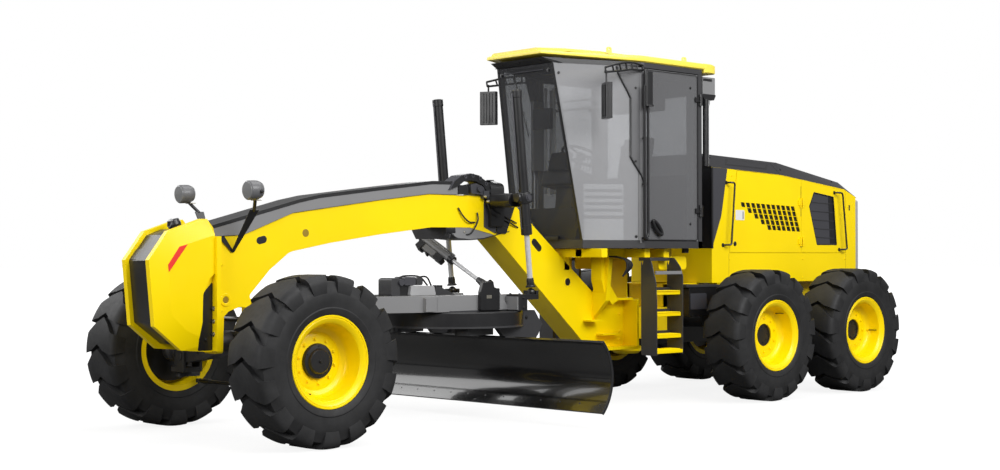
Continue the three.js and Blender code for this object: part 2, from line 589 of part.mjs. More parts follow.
function tandemCases() {
  for (const [side, s] of sides) {
    const reach = tandemBase / 2;
    const outlineYZ = [[wheelbase - reach - 190, 560], [wheelbase - reach - 90, 470],
        [wheelbase + reach + 90, 470],
      [wheelbase + reach + 190, 560], [wheelbase + reach + 190, 740], [wheelbase + reach + 90, 830],
      [wheelbase + 260, 900], [wheelbase - 260, 900], [wheelbase - reach - 90, 830],
          [wheelbase - reach - 190, 740]];
    const box = prismX(outlineYZ, 640 + FIT, 830);
    const hubs = [-reach, reach].map((dy) => rodX(140, 800, hubBack, wheelbase + dy, tyreRadius, ROUND));
    machine.add(mesh(`tandem_case_${side}`, onSide(join(box, ...hubs), s), BLACK));
  }
}

const hoodTopEdge = [[hood.front, 2340], [6480, 2300], [7650, 2180], [hoodRear - 30, 2090]];

function hoodShell() {
  const { half, front, skirt, wall, doorLow, doorTop } = hood;
  const side = [[front, skirt], [hoodRear, skirt], [hoodRear, 2060], ...[...hoodTopEdge].reverse()];
  const room = block(-half + wall, half - wall, front + wall, hoodRear - wall, skirt - 10, 2600);
  const openings = hoodDoors.map(([y0, y1]) => block(-half - 50, half + 50, y0, y1, doorLow, doorTop));
  const { out, inset, pin, boss, height, z } = hoodHinge;
  const axes = [hoodDoors[0][1] + inset, hoodDoors[1][0] - inset];
  const lug = (s, y, z0) => block(...span(s, half - 5, half + out + boss), y - boss, y + boss, z0, z0 + 20);
  const hinges = sides.flatMap(([, s]) => axes.flatMap((y) => z.flatMap((h) => [
    lug(s, y, h - 20 - FIT), lug(s, y, h + height + FIT), rodZ(pin, h - 15, h + height + 15,
        s * (half + out), y, HINGE_ROUND)])));
  machine.add(mesh('hood_shell', join(cut(prismX(side, -half, half), room, ...openings), ...hinges),
      YELLOW));
}

function hoodDoorPanels() {
  const { half, wall, doorLow, doorTop, doorGap } = hood;
  const { out, inset, pin, boss, height, z } = hoodHinge;
  hoodDoors.forEach(([y0, y1], i) => {
    const [edge, toHinge] = i ? [y0 + doorGap, -1] : [y1 - doorGap, 1];
    const axisY = i ? y0 - inset : y1 + inset;
    const between = (a, b) => [Math.min(a, b), Math.max(a, b)];
    const panel = block(half - wall, half, y0 + doorGap, y1 - doorGap, doorLow + doorGap,
        doorTop - doorGap);
    const hinges = z.map((h) => cut(
      join(block(half - 4, half + out, ...between(edge - toHinge * 50, edge - toHinge), h, h + height),
        block(half + 2, half + out, ...between(edge - toHinge * 50, axisY), h, h + height),
        rodZ(boss, h, h + height, half + out, axisY, HINGE_ROUND)),
      rodZ(holeFor(pin, HINGE_ROUND), h - 10, h + height + 10, half + out, axisY, HINGE_ROUND)));
    for (const [name, s] of sides) {
      machine.add(mesh(`hood_door_${i ? 'rear' : 'front'}_${name}`, onSide(join(panel, ...hinges), s),
          YELLOW));
    }
  });
}

function hoodCover() {
  const { half, front } = hood;
  const ridge = [[front, 2485], [6600, 2443], [7750, 2265], [hoodRear - 5, 2120]];
  const edge = hoodTopEdge.map(([y, z]) => [y, z + FIT]);
  const points = [...edge.flatMap(([y, z]) => [[half, y, z], [-half, y, z]]),
    ...ridge.flatMap(([y, z]) => [[400, y, z], [-400, y, z]])];
  const below = prismX([[front - 50, 1000], [hoodRear + 50, 1000], [hoodRear + 50, edge[3][1] - 50],
    ...[...edge].reverse(), [front - 50, edge[0][1]]], -half - 50, half + 50);
  machine.add(mesh('hood_cover', cut(hull(points), below), GREY));
}

function engine() {
  machine.add(mesh('engine_block', block(-360, 360, 5800, 7200, hood.skirt, 2050), STEEL));
}

function fuelTank() {
  machine.add(mesh('fuel_tank', block(350 + FIT, 600, 4960, 5420, 830, 1078), BLACK));
}

wheels();
frontAxle();
steering();
frontFrame();
beamCover();
noseWeight();
saddle();
liftCylinders();
shiftCylinder();
drawbarAssembly();
circleRing();
moldboard();
bladeCarrier();
cabFrame();
cabGlass();
cabDoors();
cabRoof();
cabInside();
ladders();
rearFrame();
rearAxle();
tandemCases();
hoodShell();
hoodDoorPanels();
hoodCover();
engine();
fuelTank();
machine.add(bladeGroup);

const grader = new THREE.Group();
grader.add(machine);
export default grader;
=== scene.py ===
import json
import math

import bmesh
import bpy
from mathutils import Matrix, Quaternion, Vector
from mathutils.geometry import tessellate_polygon

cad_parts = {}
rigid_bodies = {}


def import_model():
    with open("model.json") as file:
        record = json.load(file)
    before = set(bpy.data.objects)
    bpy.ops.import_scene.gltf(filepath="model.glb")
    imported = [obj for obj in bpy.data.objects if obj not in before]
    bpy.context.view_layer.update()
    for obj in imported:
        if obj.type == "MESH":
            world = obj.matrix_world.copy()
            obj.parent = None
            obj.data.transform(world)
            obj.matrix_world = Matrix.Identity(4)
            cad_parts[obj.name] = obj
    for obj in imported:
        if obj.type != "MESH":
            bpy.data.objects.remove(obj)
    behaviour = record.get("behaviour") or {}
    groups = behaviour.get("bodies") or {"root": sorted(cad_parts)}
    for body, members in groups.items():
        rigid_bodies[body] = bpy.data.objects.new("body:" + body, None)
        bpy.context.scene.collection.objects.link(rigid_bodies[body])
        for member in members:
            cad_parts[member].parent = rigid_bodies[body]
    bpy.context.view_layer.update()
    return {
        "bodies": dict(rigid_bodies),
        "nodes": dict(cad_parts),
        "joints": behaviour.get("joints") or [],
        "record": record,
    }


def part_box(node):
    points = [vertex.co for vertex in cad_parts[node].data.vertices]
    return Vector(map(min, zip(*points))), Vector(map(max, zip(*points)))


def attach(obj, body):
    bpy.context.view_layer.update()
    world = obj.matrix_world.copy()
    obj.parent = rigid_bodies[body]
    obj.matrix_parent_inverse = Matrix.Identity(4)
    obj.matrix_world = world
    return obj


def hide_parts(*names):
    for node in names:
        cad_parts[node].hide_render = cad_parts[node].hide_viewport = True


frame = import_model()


def centre(node):
    low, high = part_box(node)
    return (low + high) / 2


AXLE_Y = centre("tyre_front_left").y             # front axle in the row frame, metres
SIDES = (("left", 1), ("right", -1))
SMOOTH_ANGLE = math.radians(32)


# ---------- driving dimensions, worked out from the frame ----------
def measure(node, corner, axis):
    """One side of a node's box, in machine millimetres."""
    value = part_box(node)[corner][axis]
    return 1000 * (value - (AXLE_Y if axis == 1 else 0))


TRACK = 2000 * centre("tyre_front_left").x
WHEEL_Z = 1000 * centre("tyre_front_left").z
MIDDLE_Y = 1000 * (centre("tyre_middle_left").y - AXLE_Y)
REAR_Y = 1000 * (centre("tyre_rear_left").y - AXLE_Y)
TANDEM_Y = (MIDDLE_Y + REAR_Y) / 2
TYRE_R = measure("tyre_front_left", 1, 2) - WHEEL_Z
TYRE_HALF = (measure("tyre_front_left", 1, 0) - measure("tyre_front_left", 0, 0)) / 2
BEAM = (measure("beam_cover", 1, 0) - 15)        # half width of the front frame
FLOOR_Z = measure("cab_frame", 0, 2)
SILL_TOP = measure("cab_frame", 1, 2)
CAB_REAR = measure("rear_glass", 1, 1)
HOOD_HALF = 550
HOOD_FRONT = measure("hood_shell", 0, 1)
HOOD_REAR = measure("hood_shell", 1, 1)
SKIRT_Z = measure("hood_shell", 0, 2)
CIRCLE_Y = 2300


# ---------- shapes ----------
AXES = {"x": lambda u, v, w: (w, u, v), "y": lambda u, v, w: (u, w, v), "z": lambda u, v, w: (u, v, w)}


def rounded(outline, radius, steps=4):
    """The outline with an arc at each corner; radius is one number, or one for each corner."""
    result = []
    count = len(outline)
    for i, corner in enumerate(outline):
        r = radius[i] if isinstance(radius, (list, tuple)) else radius
        here = Vector(corner)
        back = Vector(outline[i - 1]) - here
        ahead = Vector(outline[(i + 1) % count]) - here
        half = back.angle(ahead, 0) / 2
        if r <= 0 or half < 0.01 or half > math.pi / 2 - 0.01:
            result.append(tuple(here))
            continue
        reach = min(r / math.tan(half), back.length * 0.49, ahead.length * 0.49)
        a, b = here + back.normalized() * reach, here + ahead.normalized() * reach
        for k in range(steps + 1):
            t = k / steps
            result.append(tuple(a * (1 - t) ** 2 + here * 2 * t * (1 - t) + b * t * t))
    return result


def disc(u, v, radius, steps=24):
    return [(u + radius * math.cos(2 * math.pi * i / steps), v + radius * math.sin(2 * math.pi * i / steps))
            for i in range(steps)]


def slot_hole(u, v, half, radius, angle, steps=10):
    """An oblong hole, 2 x half between its end centres, turned by angle degrees."""
    a = math.radians(angle)
    ends = []
    for sign, start in ((1, -math.pi / 2), (-1, math.pi / 2)):
        for i in range(steps + 1):
            t = start + math.pi * i / steps
            p, q = sign * half + radius * math.cos(t), radius * math.sin(t)
            ends.append((u + p * math.cos(a) - q * math.sin(a), v + p * math.sin(a) + q * math.cos(a)))
    return ends


def curve_through(points, steps=8):
    """A smooth line through the points."""
    pts = [Vector(p) for p in points]
    pts = [2 * pts[0] - pts[1], *pts, 2 * pts[-1] - pts[-2]]
    line = []
    for i in range(1, len(pts) - 2):
        p0, p1, p2, p3 = pts[i - 1:i + 3]
        for k in range(steps):
            t = k / steps
            line.append(0.5 * (2 * p1 + (p2 - p0) * t + (2 * p0 - 5 * p1 + 4 * p2 - p3) * t * t
                               + (3 * p1 - p0 - 3 * p2 + p3) * t ** 3))
    return [*line, pts[-2]]


def bent(points, radius, steps=6):
    """A line of straight runs joined by bends."""
    pts = [Vector(p) for p in points]
    line = [pts[0]]
    for before, here, after in zip(pts, pts[1:], pts[2:]):
        back, ahead = before - here, after - here
        reach = min(radius, back.length * 0.49, ahead.length * 0.49)
        a, b = here + back.normalized() * reach, here + ahead.normalized() * reach
        line += [a * (1 - t) ** 2 + here * 2 * t * (1 - t) + b * t * t for t in [k / steps for k in range(steps + 1)]]
    return [*line, pts[-1]]


class Shape:
    """A mesh being built in machine millimetres, one material at a time."""

    def __init__(self, paint):
        self.bm = bmesh.new()
        self.paints = []
        self.side = 1                  # -1 builds the mirror image
        self.place = Matrix()
        self.use(paint)

    def use(self, paint):
        if paint not in self.paints:
            self.paints.append(paint)
        self.index = self.paints.index(paint)
        return self

    def add(self, points, faces):
        verts = []
        for x, y, z in points:
            verts.append(self.bm.verts.new(self.place @ Vector((self.side * x, y, z))))
        made = []
        for corners in faces:
            face = self.bm.faces.new([verts[i] for i in corners])
            face.material_index = self.index
            made.append(face)
        return made

    def prism(self, axis, outline, near, far, holes=()):
        """An outline, with holes, pushed along an axis from near to far, its caps merged."""
        flat = [p for loop in (outline, *holes) for p in loop]
        count = len(flat)
        points = [AXES[axis](u, v, w) for w in (near, far) for u, v in flat]
        faces = []
        start = 0
        for loop in (outline, *holes):
            for i in range(len(loop)):
                a, b = start + i, start + (i + 1) % len(loop)
                faces.append((a, b, count + b, count + a))
            start += len(loop)
        if not holes:
            self.add(points, [*faces, tuple(range(count)), tuple(range(2 * count - 1, count - 1, -1))])
            return self
        caps = tessellate_polygon([[Vector((u, v, 0)) for u, v in loop] for loop in (outline, *holes)])
        caps = list({frozenset(cap): cap for cap in caps if len(set(cap)) == 3}.values())
        walls = len(faces)
        made = self.add(points, [*faces, *caps, *[[count + i for i in reversed(cap)] for cap in caps]])
        edges = {e for face in made[walls:] for e in face.edges}
        bmesh.ops.dissolve_limit(self.bm, angle_limit=0.001, edges=list(edges),
                                 verts=list({v for e in edges for v in e.verts}))
        return self

    def box(self, x, y, z):
        """A block between two values on each axis."""
        return self.prism("z", [(x[0], y[0]), (x[1], y[0]), (x[1], y[1]), (x[0], y[1])], *z)

    def hull(self, points):
        verts = [self.bm.verts.new(self.place @ Vector((self.side * x, y, z))) for x, y, z in points]
        made = bmesh.ops.convex_hull(self.bm, input=verts)
        loose = {v for v in made["geom_interior"] if isinstance(v, bmesh.types.BMVert)}
        bmesh.ops.delete(self.bm, geom=list(loose), context="VERTS")
        faces = [f for f in made["geom"] if isinstance(f, bmesh.types.BMFace)]
        for face in faces:
            face.material_index = self.index
        edges = {e for f in faces for e in f.edges}
        bmesh.ops.dissolve_limit(self.bm, angle_limit=0.002, edges=list(edges),
                                 verts=list({v for e in edges for v in e.verts}))
        return self

    def lathe(self, profile, origin, direction="z", steps=48):
        """A profile of (radius, height) turned about a direction through origin."""
        if isinstance(direction, str):
            direction = AXES[direction](0, 0, 1)
        turn = Vector((0, 0, 1)).rotation_difference(Vector(direction)).to_matrix()
        closed = profile[0] == profile[-1]
        rows = profile[:-1] if closed else profile
        points, rings = [], []
        for radius, height in rows:
            count = 1 if radius < 1e-6 else steps
            rings.append([len(points) + i for i in range(count)])
            for i in range(count):
                a = 2 * math.pi * (i + 0.5) / steps
                spot = Vector((radius * math.cos(a), radius * math.sin(a), height))
                points.append(tuple(turn @ spot + Vector(origin)))
        faces = []
        pairs = list(zip(rings, rings[1:])) + ([(rings[-1], rings[0])] if closed else [])
        for low, high in pairs:
            for i in range(steps):
                j = (i + 1) % steps
                quad = [low[i % len(low)], low[j % len(low)], high[j % len(high)], high[i % len(high)]]
                corners = list(dict.fromkeys(quad))
                if len(corners) > 2:
                    faces.append(corners)
        self.add(points, faces)
        return self

    def rod(self, p, q, radius, end=None, steps=24):
        """A round bar from p to q, with another radius at its end if it tapers."""
        along = Vector(q) - Vector(p)
        end = radius if end is None else end
        return self.lathe([(0, 0), (radius, 0), (end, along.length), (0, along.length)], p, tuple(along),
                          steps)

    def ball(self, spot, radius, steps=20):
        half = [math.pi * i / 10 for i in range(11)]
        return self.lathe([(radius * math.sin(a) if 0 < i < 10 else 0, -radius * math.cos(a))
                           for i, a in enumerate(half)], spot, "z", steps)

    def pipe(self, line, radius, steps=10):
        """A round bar that follows a line of points."""
        line = [Vector(p) for p in line]
        tangents = [(b - a).normalized() for a, b in zip([line[0], *line], [*line[1:], line[-1]])]
        tangents[0] = (line[1] - line[0]).normalized()
        side = tangents[0].orthogonal().normalized()
        points = []
        for i, (spot, ahead) in enumerate(zip(line, tangents)):
            if i:
                side = tangents[i - 1].rotation_difference(ahead) @ side
            up = ahead.cross(side).normalized()
            side = up.cross(ahead).normalized()
            for k in range(steps):
                a = 2 * math.pi * k / steps
                points.append(tuple(spot + radius * (math.cos(a) * side + math.sin(a) * up)))
        faces = [(i * steps + k, i * steps + (k + 1) % steps, (i + 1) * steps + (k + 1) % steps,
                  (i + 1) * steps + k)
                 for i in range(len(line) - 1) for k in range(steps)]
        last = (len(line) - 1) * steps
        self.add(points, [*faces, tuple(reversed(range(steps))), tuple(range(last, last + steps))])
        return self

    def bolt(self, spot, direction, size=11):
        """A hexagon head on its washer."""
        self.lathe([(0, -1), (size * 1.5, -1), (size * 1.5, 2.5), (0, 2.5)], spot, direction, 16)
        return self.lathe([(0, 2), (size, 2), (size, size * 0.8), (size * 0.8, size), (0, size)], spot,
                          direction, 6)

    def as_mesh(self):
        bmesh.ops.recalc_face_normals(self.bm, faces=self.bm.faces)
        mesh = bpy.data.meshes.new("part")
        self.bm.to_mesh(mesh)
        return mesh

    def take(self, other):
        """Adds another shape's bodies, with their materials, to this one."""
        mesh = other.as_mesh()
        known = len(self.bm.faces)
        self.bm.from_mesh(mesh)
        self.bm.faces.ensure_lookup_table()
        for face in self.bm.faces[known:]:
            paint = other.paints[face.material_index]
            if paint not in self.paints:
                self.paints.append(paint)
            face.material_index = self.paints.index(paint)
        bpy.data.meshes.remove(mesh)
        return self

    def cut(self, tool):
        """Takes another shape's closed bodies away from this one."""
        solids = []
        for shape in (self, tool):
            solids.append(bpy.data.objects.new("part", shape.as_mesh()))
            bpy.context.scene.collection.objects.link(solids[-1])
        body, knife = solids
        away = body.modifiers.new("cut", "BOOLEAN")
        away.object = knife
        away.solver = "EXACT"
        result = bpy.data.meshes.new_from_object(body.evaluated_get(bpy.context.evaluated_depsgraph_get()))
        self.bm.clear()
        self.bm.from_mesh(result)
        for solid in solids:
            mesh = solid.data
            bpy.data.objects.remove(solid)
            bpy.data.meshes.remove(mesh)
        bpy.data.meshes.remove(result)
        return self


def piece(name, shape, body, replaces=(), bevel=4.0, angle=SMOOTH_ANGLE):
    """Turns a shape into an object that rides a body, with its edges bevelled by so many millimetres."""
    bmesh.ops.recalc_face_normals(shape.bm, faces=shape.bm.faces)
    shape.bm.transform(Matrix.Translation((0, AXLE_Y, 0)) @ Matrix.Scale(0.001, 4))
    mesh = bpy.data.meshes.new(name)
    shape.bm.to_mesh(mesh)
    shape.bm.free()
    for paint in shape.paints:
        mesh.materials.append(paint)
    mesh.shade_smooth()
    mesh.set_sharp_from_angle(angle=angle)
    obj = bpy.data.objects.new(name, mesh)
    bpy.context.scene.collection.objects.link(obj)
    if bevel:
        edge = obj.modifiers.new("edges", "BEVEL")
        edge.width = bevel / 1000
        edge.segments = 2
        edge.limit_method = "ANGLE"
        edge.angle_limit = angle
        edge.harden_normals = True
    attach(obj, body)
    if replaces:
        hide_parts(*replaces)
    return obj


# ---------- materials ----------
def srgb(r, g, b):
    """A colour given as it shows, 0 to 255, in the linear values a shader wants."""
    return (*[(c / 255 / 12.92) if c < 10 else ((c / 255 + 0.055) / 1.055) ** 2.4 for c in (r, g, b)], 1)


class Nodes:
    """A material's node tree, built a node at a time."""

    def __init__(self, name):
        self.material = bpy.data.materials.new(name)
        self.material.use_nodes = True
        self.tree = self.material.node_tree
        self.shader = self.tree.nodes["Principled BSDF"]
        self.output = self.tree.nodes["Material Output"]
        self.where = self.new("ShaderNodeTexCoord").outputs["Object"]

    def new(self, kind, **values):
        node = self.tree.nodes.new(kind)
        for key, value in values.items():
            setattr(node, key, value)
        return node

    def link(self, a, b):
        self.tree.links.new(a, b)

    def noise(self, scale, detail=3.0, rough=0.5):
        node = self.new("ShaderNodeTexNoise")
        for key, value in (("Scale", scale), ("Detail", detail), ("Roughness", rough)):
            node.inputs[key].default_value = value
        self.link(self.where, node.inputs["Vector"])
        return node.outputs["Fac"]

    def shades(self, fac, dark, light, low=0.3, high=0.7):
        """A ramp from one colour to another."""
        ramp = self.new("ShaderNodeValToRGB")
        for stop, (spot, colour) in zip(ramp.color_ramp.elements, ((low, dark), (high, light))):
            stop.position = spot
            stop.color = colour
        self.link(fac, ramp.inputs["Fac"])
        return ramp.outputs["Color"]

    def between(self, fac, low, high):
        spread = self.new("ShaderNodeMapRange")
        spread.inputs["To Min"].default_value = low
        spread.inputs["To Max"].default_value = high
        self.link(fac, spread.inputs["Value"])
        return spread.outputs["Result"]

    def bump(self, height, strength, distance):
        node = self.new("ShaderNodeBump")
        node.inputs["Strength"].default_value = strength
        node.inputs["Distance"].default_value = distance
        self.link(height, node.inputs["Height"])
        self.link(node.outputs["Normal"], self.shader.inputs["Normal"])

    def set(self, **values):
        for key, value in values.items():
            self.shader.inputs[key.replace("_", " ")].default_value = value


def coated(name, colour, rough=(0.28, 0.4), spread=0.06, coat=0.3, grain=260.0, relief=0.05, metallic=0.0,
           shine=0.5):
    """Paint over steel: a colour that drifts a little, a clear coat and a faint orange peel."""
    m = Nodes(name)
    light = srgb(*colour)
    dark = (*[c * (1 - spread) for c in light[:3]], 1)
    m.link(m.shades(m.noise(1.7, 2.0), dark, light), m.shader.inputs["Base Color"])
    m.link(m.between(m.noise(9.0, 4.0), *rough), m.shader.inputs["Roughness"])
    m.bump(m.noise(grain, 2.0), relief, 0.001)
    m.set(Coat_Weight=coat, Coat_Roughness=0.12, Metallic=metallic, Specular_IOR_Level=shine)
    return m.material


def rubber_material():
    """Tyre rubber: matt, a little dusty between fine moulding marks."""
    m = Nodes("rubber")
    dust = m.noise(5.0, 5.0, 0.6)
    m.link(m.shades(dust, srgb(28, 28, 29), srgb(44, 44, 45), 0.35, 0.75), m.shader.inputs["Base Color"])
    m.link(m.between(m.noise(30.0, 4.0), 0.5, 0.72), m.shader.inputs["Roughness"])
    m.bump(m.noise(420.0, 3.0), 0.22, 0.001)
    m.set(Specular_IOR_Level=0.35)
    return m.material


def cast_material():
    """Painted casting: dark, with a rough sand-cast skin."""
    m = Nodes("casting")
    m.link(m.shades(m.noise(6.0, 5.0), srgb(34, 34, 35), srgb(52, 52, 54)), m.shader.inputs["Base Color"])
    m.link(m.between(m.noise(22.0), 0.42, 0.62), m.shader.inputs["Roughness"])
    m.bump(m.noise(160.0, 5.0, 0.7), 0.3, 0.002)
    return m.material


def metal_material(name, colour, rough, grain, metallic=1.0):
    """Bare metal with fine marks along it."""
    m = Nodes(name)
    light = srgb(*colour)
    dark = (*[c * 0.82 for c in light[:3]], 1)
    m.link(m.shades(m.noise(grain), dark, light), m.shader.inputs["Base Color"])
    m.link(m.between(m.noise(grain * 2), *rough), m.shader.inputs["Roughness"])
    m.bump(m.noise(grain * 4), 0.04, 0.0005)
    m.set(Metallic=metallic)
    return m.material


def blade_material():
    """Blade steel: black gloss that mirrors the ground, its roughness drifting at random."""
    m = Nodes("blade_steel")
    m.link(m.shades(m.noise(2.4, 4.0), srgb(14, 14, 15), srgb(24, 24, 25)), m.shader.inputs["Base Color"])
    m.link(m.between(m.noise(3.0, 5.0), 0.12, 0.26), m.shader.inputs["Roughness"])
    m.bump(m.noise(40.0, 2.0), 0.03, 0.001)
    m.set(Coat_Weight=0.9, Coat_Roughness=0.07, Specular_IOR_Level=0.6)
    return m.material


def glass_material(name, tint, clear):
    """Tinted pane: part of it hazy grey, the rest clear, and it lets lamplight into the cab."""
    m = Nodes(name)
    shade = srgb(tint, tint, tint + 2)
    m.link(m.shades(m.noise(0.8, 1.0), (*[c * 0.94 for c in shade[:3]], 1), shade),
           m.shader.inputs["Base Color"])
    m.link(m.between(m.noise(4.0), 0.02, 0.05), m.shader.inputs["Roughness"])
    m.set(Transmission_Weight=0.0, IOR=1.35, Specular_IOR_Level=0.5)
    pane = m.new("ShaderNodeBsdfTransparent")
    pane.inputs["Color"].default_value = (0.86, 0.87, 0.88, 1)
    mix = m.new("ShaderNodeMixShader")
    mix.inputs["Fac"].default_value = clear
    m.link(m.shader.outputs["BSDF"], mix.inputs[1])
    m.link(pane.outputs["BSDF"], mix.inputs[2])
    m.link(mix.outputs["Shader"], m.output.inputs["Surface"])
    return m.material


def cloth_material():
    """Seat cloth: a fine crossed weave with a little sheen."""
    m = Nodes("seat_cloth")
    weave = m.new("ShaderNodeTexWave", wave_type="BANDS", bands_direction="DIAGONAL")
    weave.inputs["Scale"].default_value = 160.0
    weave.inputs["Distortion"].default_value = 2.0
    m.link(m.where, weave.inputs["Vector"])
    m.link(m.shades(weave.outputs["Fac"], srgb(40, 40, 42), srgb(70, 70, 73)), m.shader.inputs["Base Color"])
    m.link(m.between(m.noise(60.0), 0.75, 0.9), m.shader.inputs["Roughness"])
    m.bump(weave.outputs["Fac"], 0.4, 0.0015)
    m.set(Sheen_Weight=0.3)
    return m.material


YELLOW = coated("yellow_paint", (255, 222, 0), coat=0.1, shine=0.25)
GREY = coated("grey_paint", (128, 128, 129), rough=(0.38, 0.5), coat=0.1)
PALE = coated("pale_grey_paint", (164, 164, 165), rough=(0.4, 0.5), coat=0.1)
DOOR_GREY = coated("door_grey_paint", (100, 100, 102), rough=(0.2, 0.3), coat=0.5)
# the roof's two yellows are paler than the body paint: painted highlight, for the sheen its top and sides catch from
# above
PALE_HIGHLIGHT_YELLOW = coated("pale_highlight_paint", (250, 232, 120), coat=0.2)
ROOF_HIGHLIGHT_YELLOW = coated("roof_highlight_paint", (250, 228, 84), coat=0.2)
# yellow steel as it looks in shadow: painted shade for the hole wells and the hood's seams
SEAM_SHADE = coated("seam_shadow", (150, 122, 6), rough=(0.5, 0.6), coat=0.0)
COVER = coated("hood_cover_paint", (34, 34, 38), rough=(0.32, 0.42), coat=0.2)
SMOKE = coated("smoke_paint", (62, 62, 67), rough=(0.35, 0.5), coat=0.15)
DARK = coated("dark_paint", (54, 54, 56), rough=(0.35, 0.5), coat=0.15)
BLACK = coated("black_paint", (24, 24, 26), rough=(0.3, 0.45), coat=0.2)
LAMP_GREY = coated("lamp_grey", (98, 98, 100), rough=(0.4, 0.5), coat=0.15)
PLASTIC = coated("black_plastic", (34, 34, 36), rough=(0.5, 0.65), coat=0.0, grain=700.0, relief=0.15)
RED = coated("red_reflector", (240, 62, 48), rough=(0.2, 0.3), coat=0.5)
AMBER = coated("amber_lens", (238, 120, 20), rough=(0.15, 0.25), coat=0.6)
LABEL = coated("blank_plate", (226, 226, 224), rough=(0.4, 0.5), spread=0.03, coat=0.0)
LENS = coated("lamp_lens", (118, 119, 121), rough=(0.08, 0.15), coat=0.8, grain=90.0, relief=0.3)
RUBBER = rubber_material()
CASTING = cast_material()
# piston rods: pale steel that is only partly metallic, so part of its brightness is the rod's own light finish and
# part a painted reflection of the bright studio
CHROME = metal_material("piston_rod", (236, 236, 238), (0.12, 0.2), 30.0, 0.4)
ZINC = metal_material("zinc", (190, 186, 172), (0.3, 0.42), 60.0)
MIRROR = metal_material("mirror_glass", (210, 214, 218), (0.02, 0.04), 8.0)
BLADE = blade_material()
SIDE_GLASS = glass_material("side_glass", 196, 0.62)
DOOR_GLASS = glass_material("door_glass", 128, 0.56)
WIND_GLASS = glass_material("windscreen", 84, 0.6)
CLOTH = cloth_material()


# ---------- camera, floor and light ----------
def camera():
    """Where the photograph was taken from: front left, at about eye height."""
    data = bpy.data.cameras.new("camera")
    data.sensor_width = 36
    data.lens = 54.457
    data.clip_end = 500
    obj = bpy.data.objects.new("camera", data)
    bpy.context.scene.collection.objects.link(obj)
    look = Vector((-0.7330, 0.6801, 0.01349)).normalized()
    roll = Quaternion((0, 0, 1), -0.00074)
    obj.rotation_mode = "QUATERNION"
    obj.rotation_quaternion = look.to_track_quat("-Z", "Y") @ roll
    obj.location = (10.36015, AXLE_Y - 6.71477, 1.44156)
    bpy.context.scene.camera = obj


def seen_by_camera(nodes):
    """1 for what the camera sees, straight or through glass, and 0 for every other ray."""
    path = nodes.new("ShaderNodeLightPath")
    either = nodes.new("ShaderNodeMath")
    either.operation = "MAXIMUM"
    for socket, ray in zip(either.inputs, ("Is Camera Ray", "Is Transmission Ray")):
        nodes.id_data.links.new(path.outputs[ray], socket)
    return either.outputs[0]


def floor():
    """A floor that keeps the shadow near the machine and goes plain white further off."""
    mesh = bpy.data.meshes.new("floor")
    reach = 150.0
    mesh.from_pydata([(x, y, 0) for x, y in ((-reach, -reach), (reach, -reach), (reach, reach),
                                             (-reach, reach))],
                     [], [(0, 1, 2, 3)])
    obj = bpy.data.objects.new("floor", mesh)
    bpy.context.scene.collection.objects.link(obj)
    m = Nodes("floor")
    m.link(m.shades(m.noise(0.3), (0.14, 0.14, 0.14, 1), (0.15, 0.15, 0.15, 1)),
           m.shader.inputs["Base Color"])
    m.set(Roughness=0.9, Specular_IOR_Level=0.0)
    away = m.new("ShaderNodeVectorMath", operation="LENGTH")
    m.link(m.where, away.inputs[0])
    glow = m.new("ShaderNodeMapRange")
    for key, value in (("From Min", 5.0), ("From Max", 13.0), ("To Min", FLOOR_GLOW), ("To Max", 1.2)):
        glow.inputs[key].default_value = value
    m.link(away.outputs["Value"], glow.inputs["Value"])
    level = m.new("ShaderNodeMath", operation="MULTIPLY")
    m.link(glow.outputs["Result"], level.inputs[0])
    m.link(seen_by_camera(m.tree.nodes), level.inputs[1])
    light = m.new("ShaderNodeEmission")
    m.link(level.outputs[0], light.inputs["Strength"])
    both = m.new("ShaderNodeAddShader")
    m.link(m.shader.outputs["BSDF"], both.inputs[0])
    m.link(light.outputs["Emission"], both.inputs[1])
    m.link(both.outputs["Shader"], m.output.inputs["Surface"])
    mesh.materials.append(m.material)


def sky():
    """A soft grey dome that lights from all round, and plain white behind the machine."""
    world = bpy.data.worlds.new("studio")
    bpy.context.scene.world = world
    world.use_nodes = True
    tree = world.node_tree
    back = tree.nodes["Background"]
    dome = tree.nodes.new("ShaderNodeBackground")
    dome.inputs["Color"].default_value = (1, 1, 1, 1)
    dome.inputs["Strength"].default_value = DOME
    back.inputs["Color"].default_value = (1, 1, 1, 1)
    back.inputs["Strength"].default_value = 1.0
    mix = tree.nodes.new("ShaderNodeMixShader")
    tree.links.new(seen_by_camera(tree.nodes), mix.inputs["Fac"])
    tree.links.new(dome.outputs["Background"], mix.inputs[1])
    tree.links.new(back.outputs["Background"], mix.inputs[2])
    tree.links.new(mix.outputs["Shader"], tree.nodes["World Output"].inputs["Surface"])


def softbox(name, spot, aim, size, power):
    data = bpy.data.lights.new(name, "AREA")
    data.shape = "RECTANGLE"
    data.size, data.size_y = size
    data.energy = power
    obj = bpy.data.objects.new(name, data)
    bpy.context.scene.collection.objects.link(obj)
    obj.location = spot
    obj.rotation_mode = "QUATERNION"
    obj.rotation_quaternion = (Vector(aim) - Vector(spot)).to_track_quat("-Z", "Y")


bpy.context.scene.view_settings.view_transform = "Standard"
DOME = 0.3
FLOOR_GLOW = 0.87
camera()
floor()
sky()
softbox("key", (10.0, 0.0, 7.5), (0, 0.8, 1.4), (12.0, 5.0), 1500)
softbox("front", (3.0, -12.0, 4.5), (0, -1, 1.4), (7.0, 4.0), 450)
softbox("top", (0.0, 1.0, 11.0), (0, 0.5, 0), (8.0, 10.0), 600)
softbox("back", (-8.0, 9.0, 6.0), (0, 1, 1.4), (7.0, 4.0), 250)
softbox("blade_light", (-6.7, -6.0, 5.4), (0, -1.1, 0.5), (10.0, 5.0), 420)


# ---------- wheels ----------
BLOCKS = 15
CHEVRON = {"lead": 9.6, "gap": 3.6, "shoulder": 5.0, "base": 603}


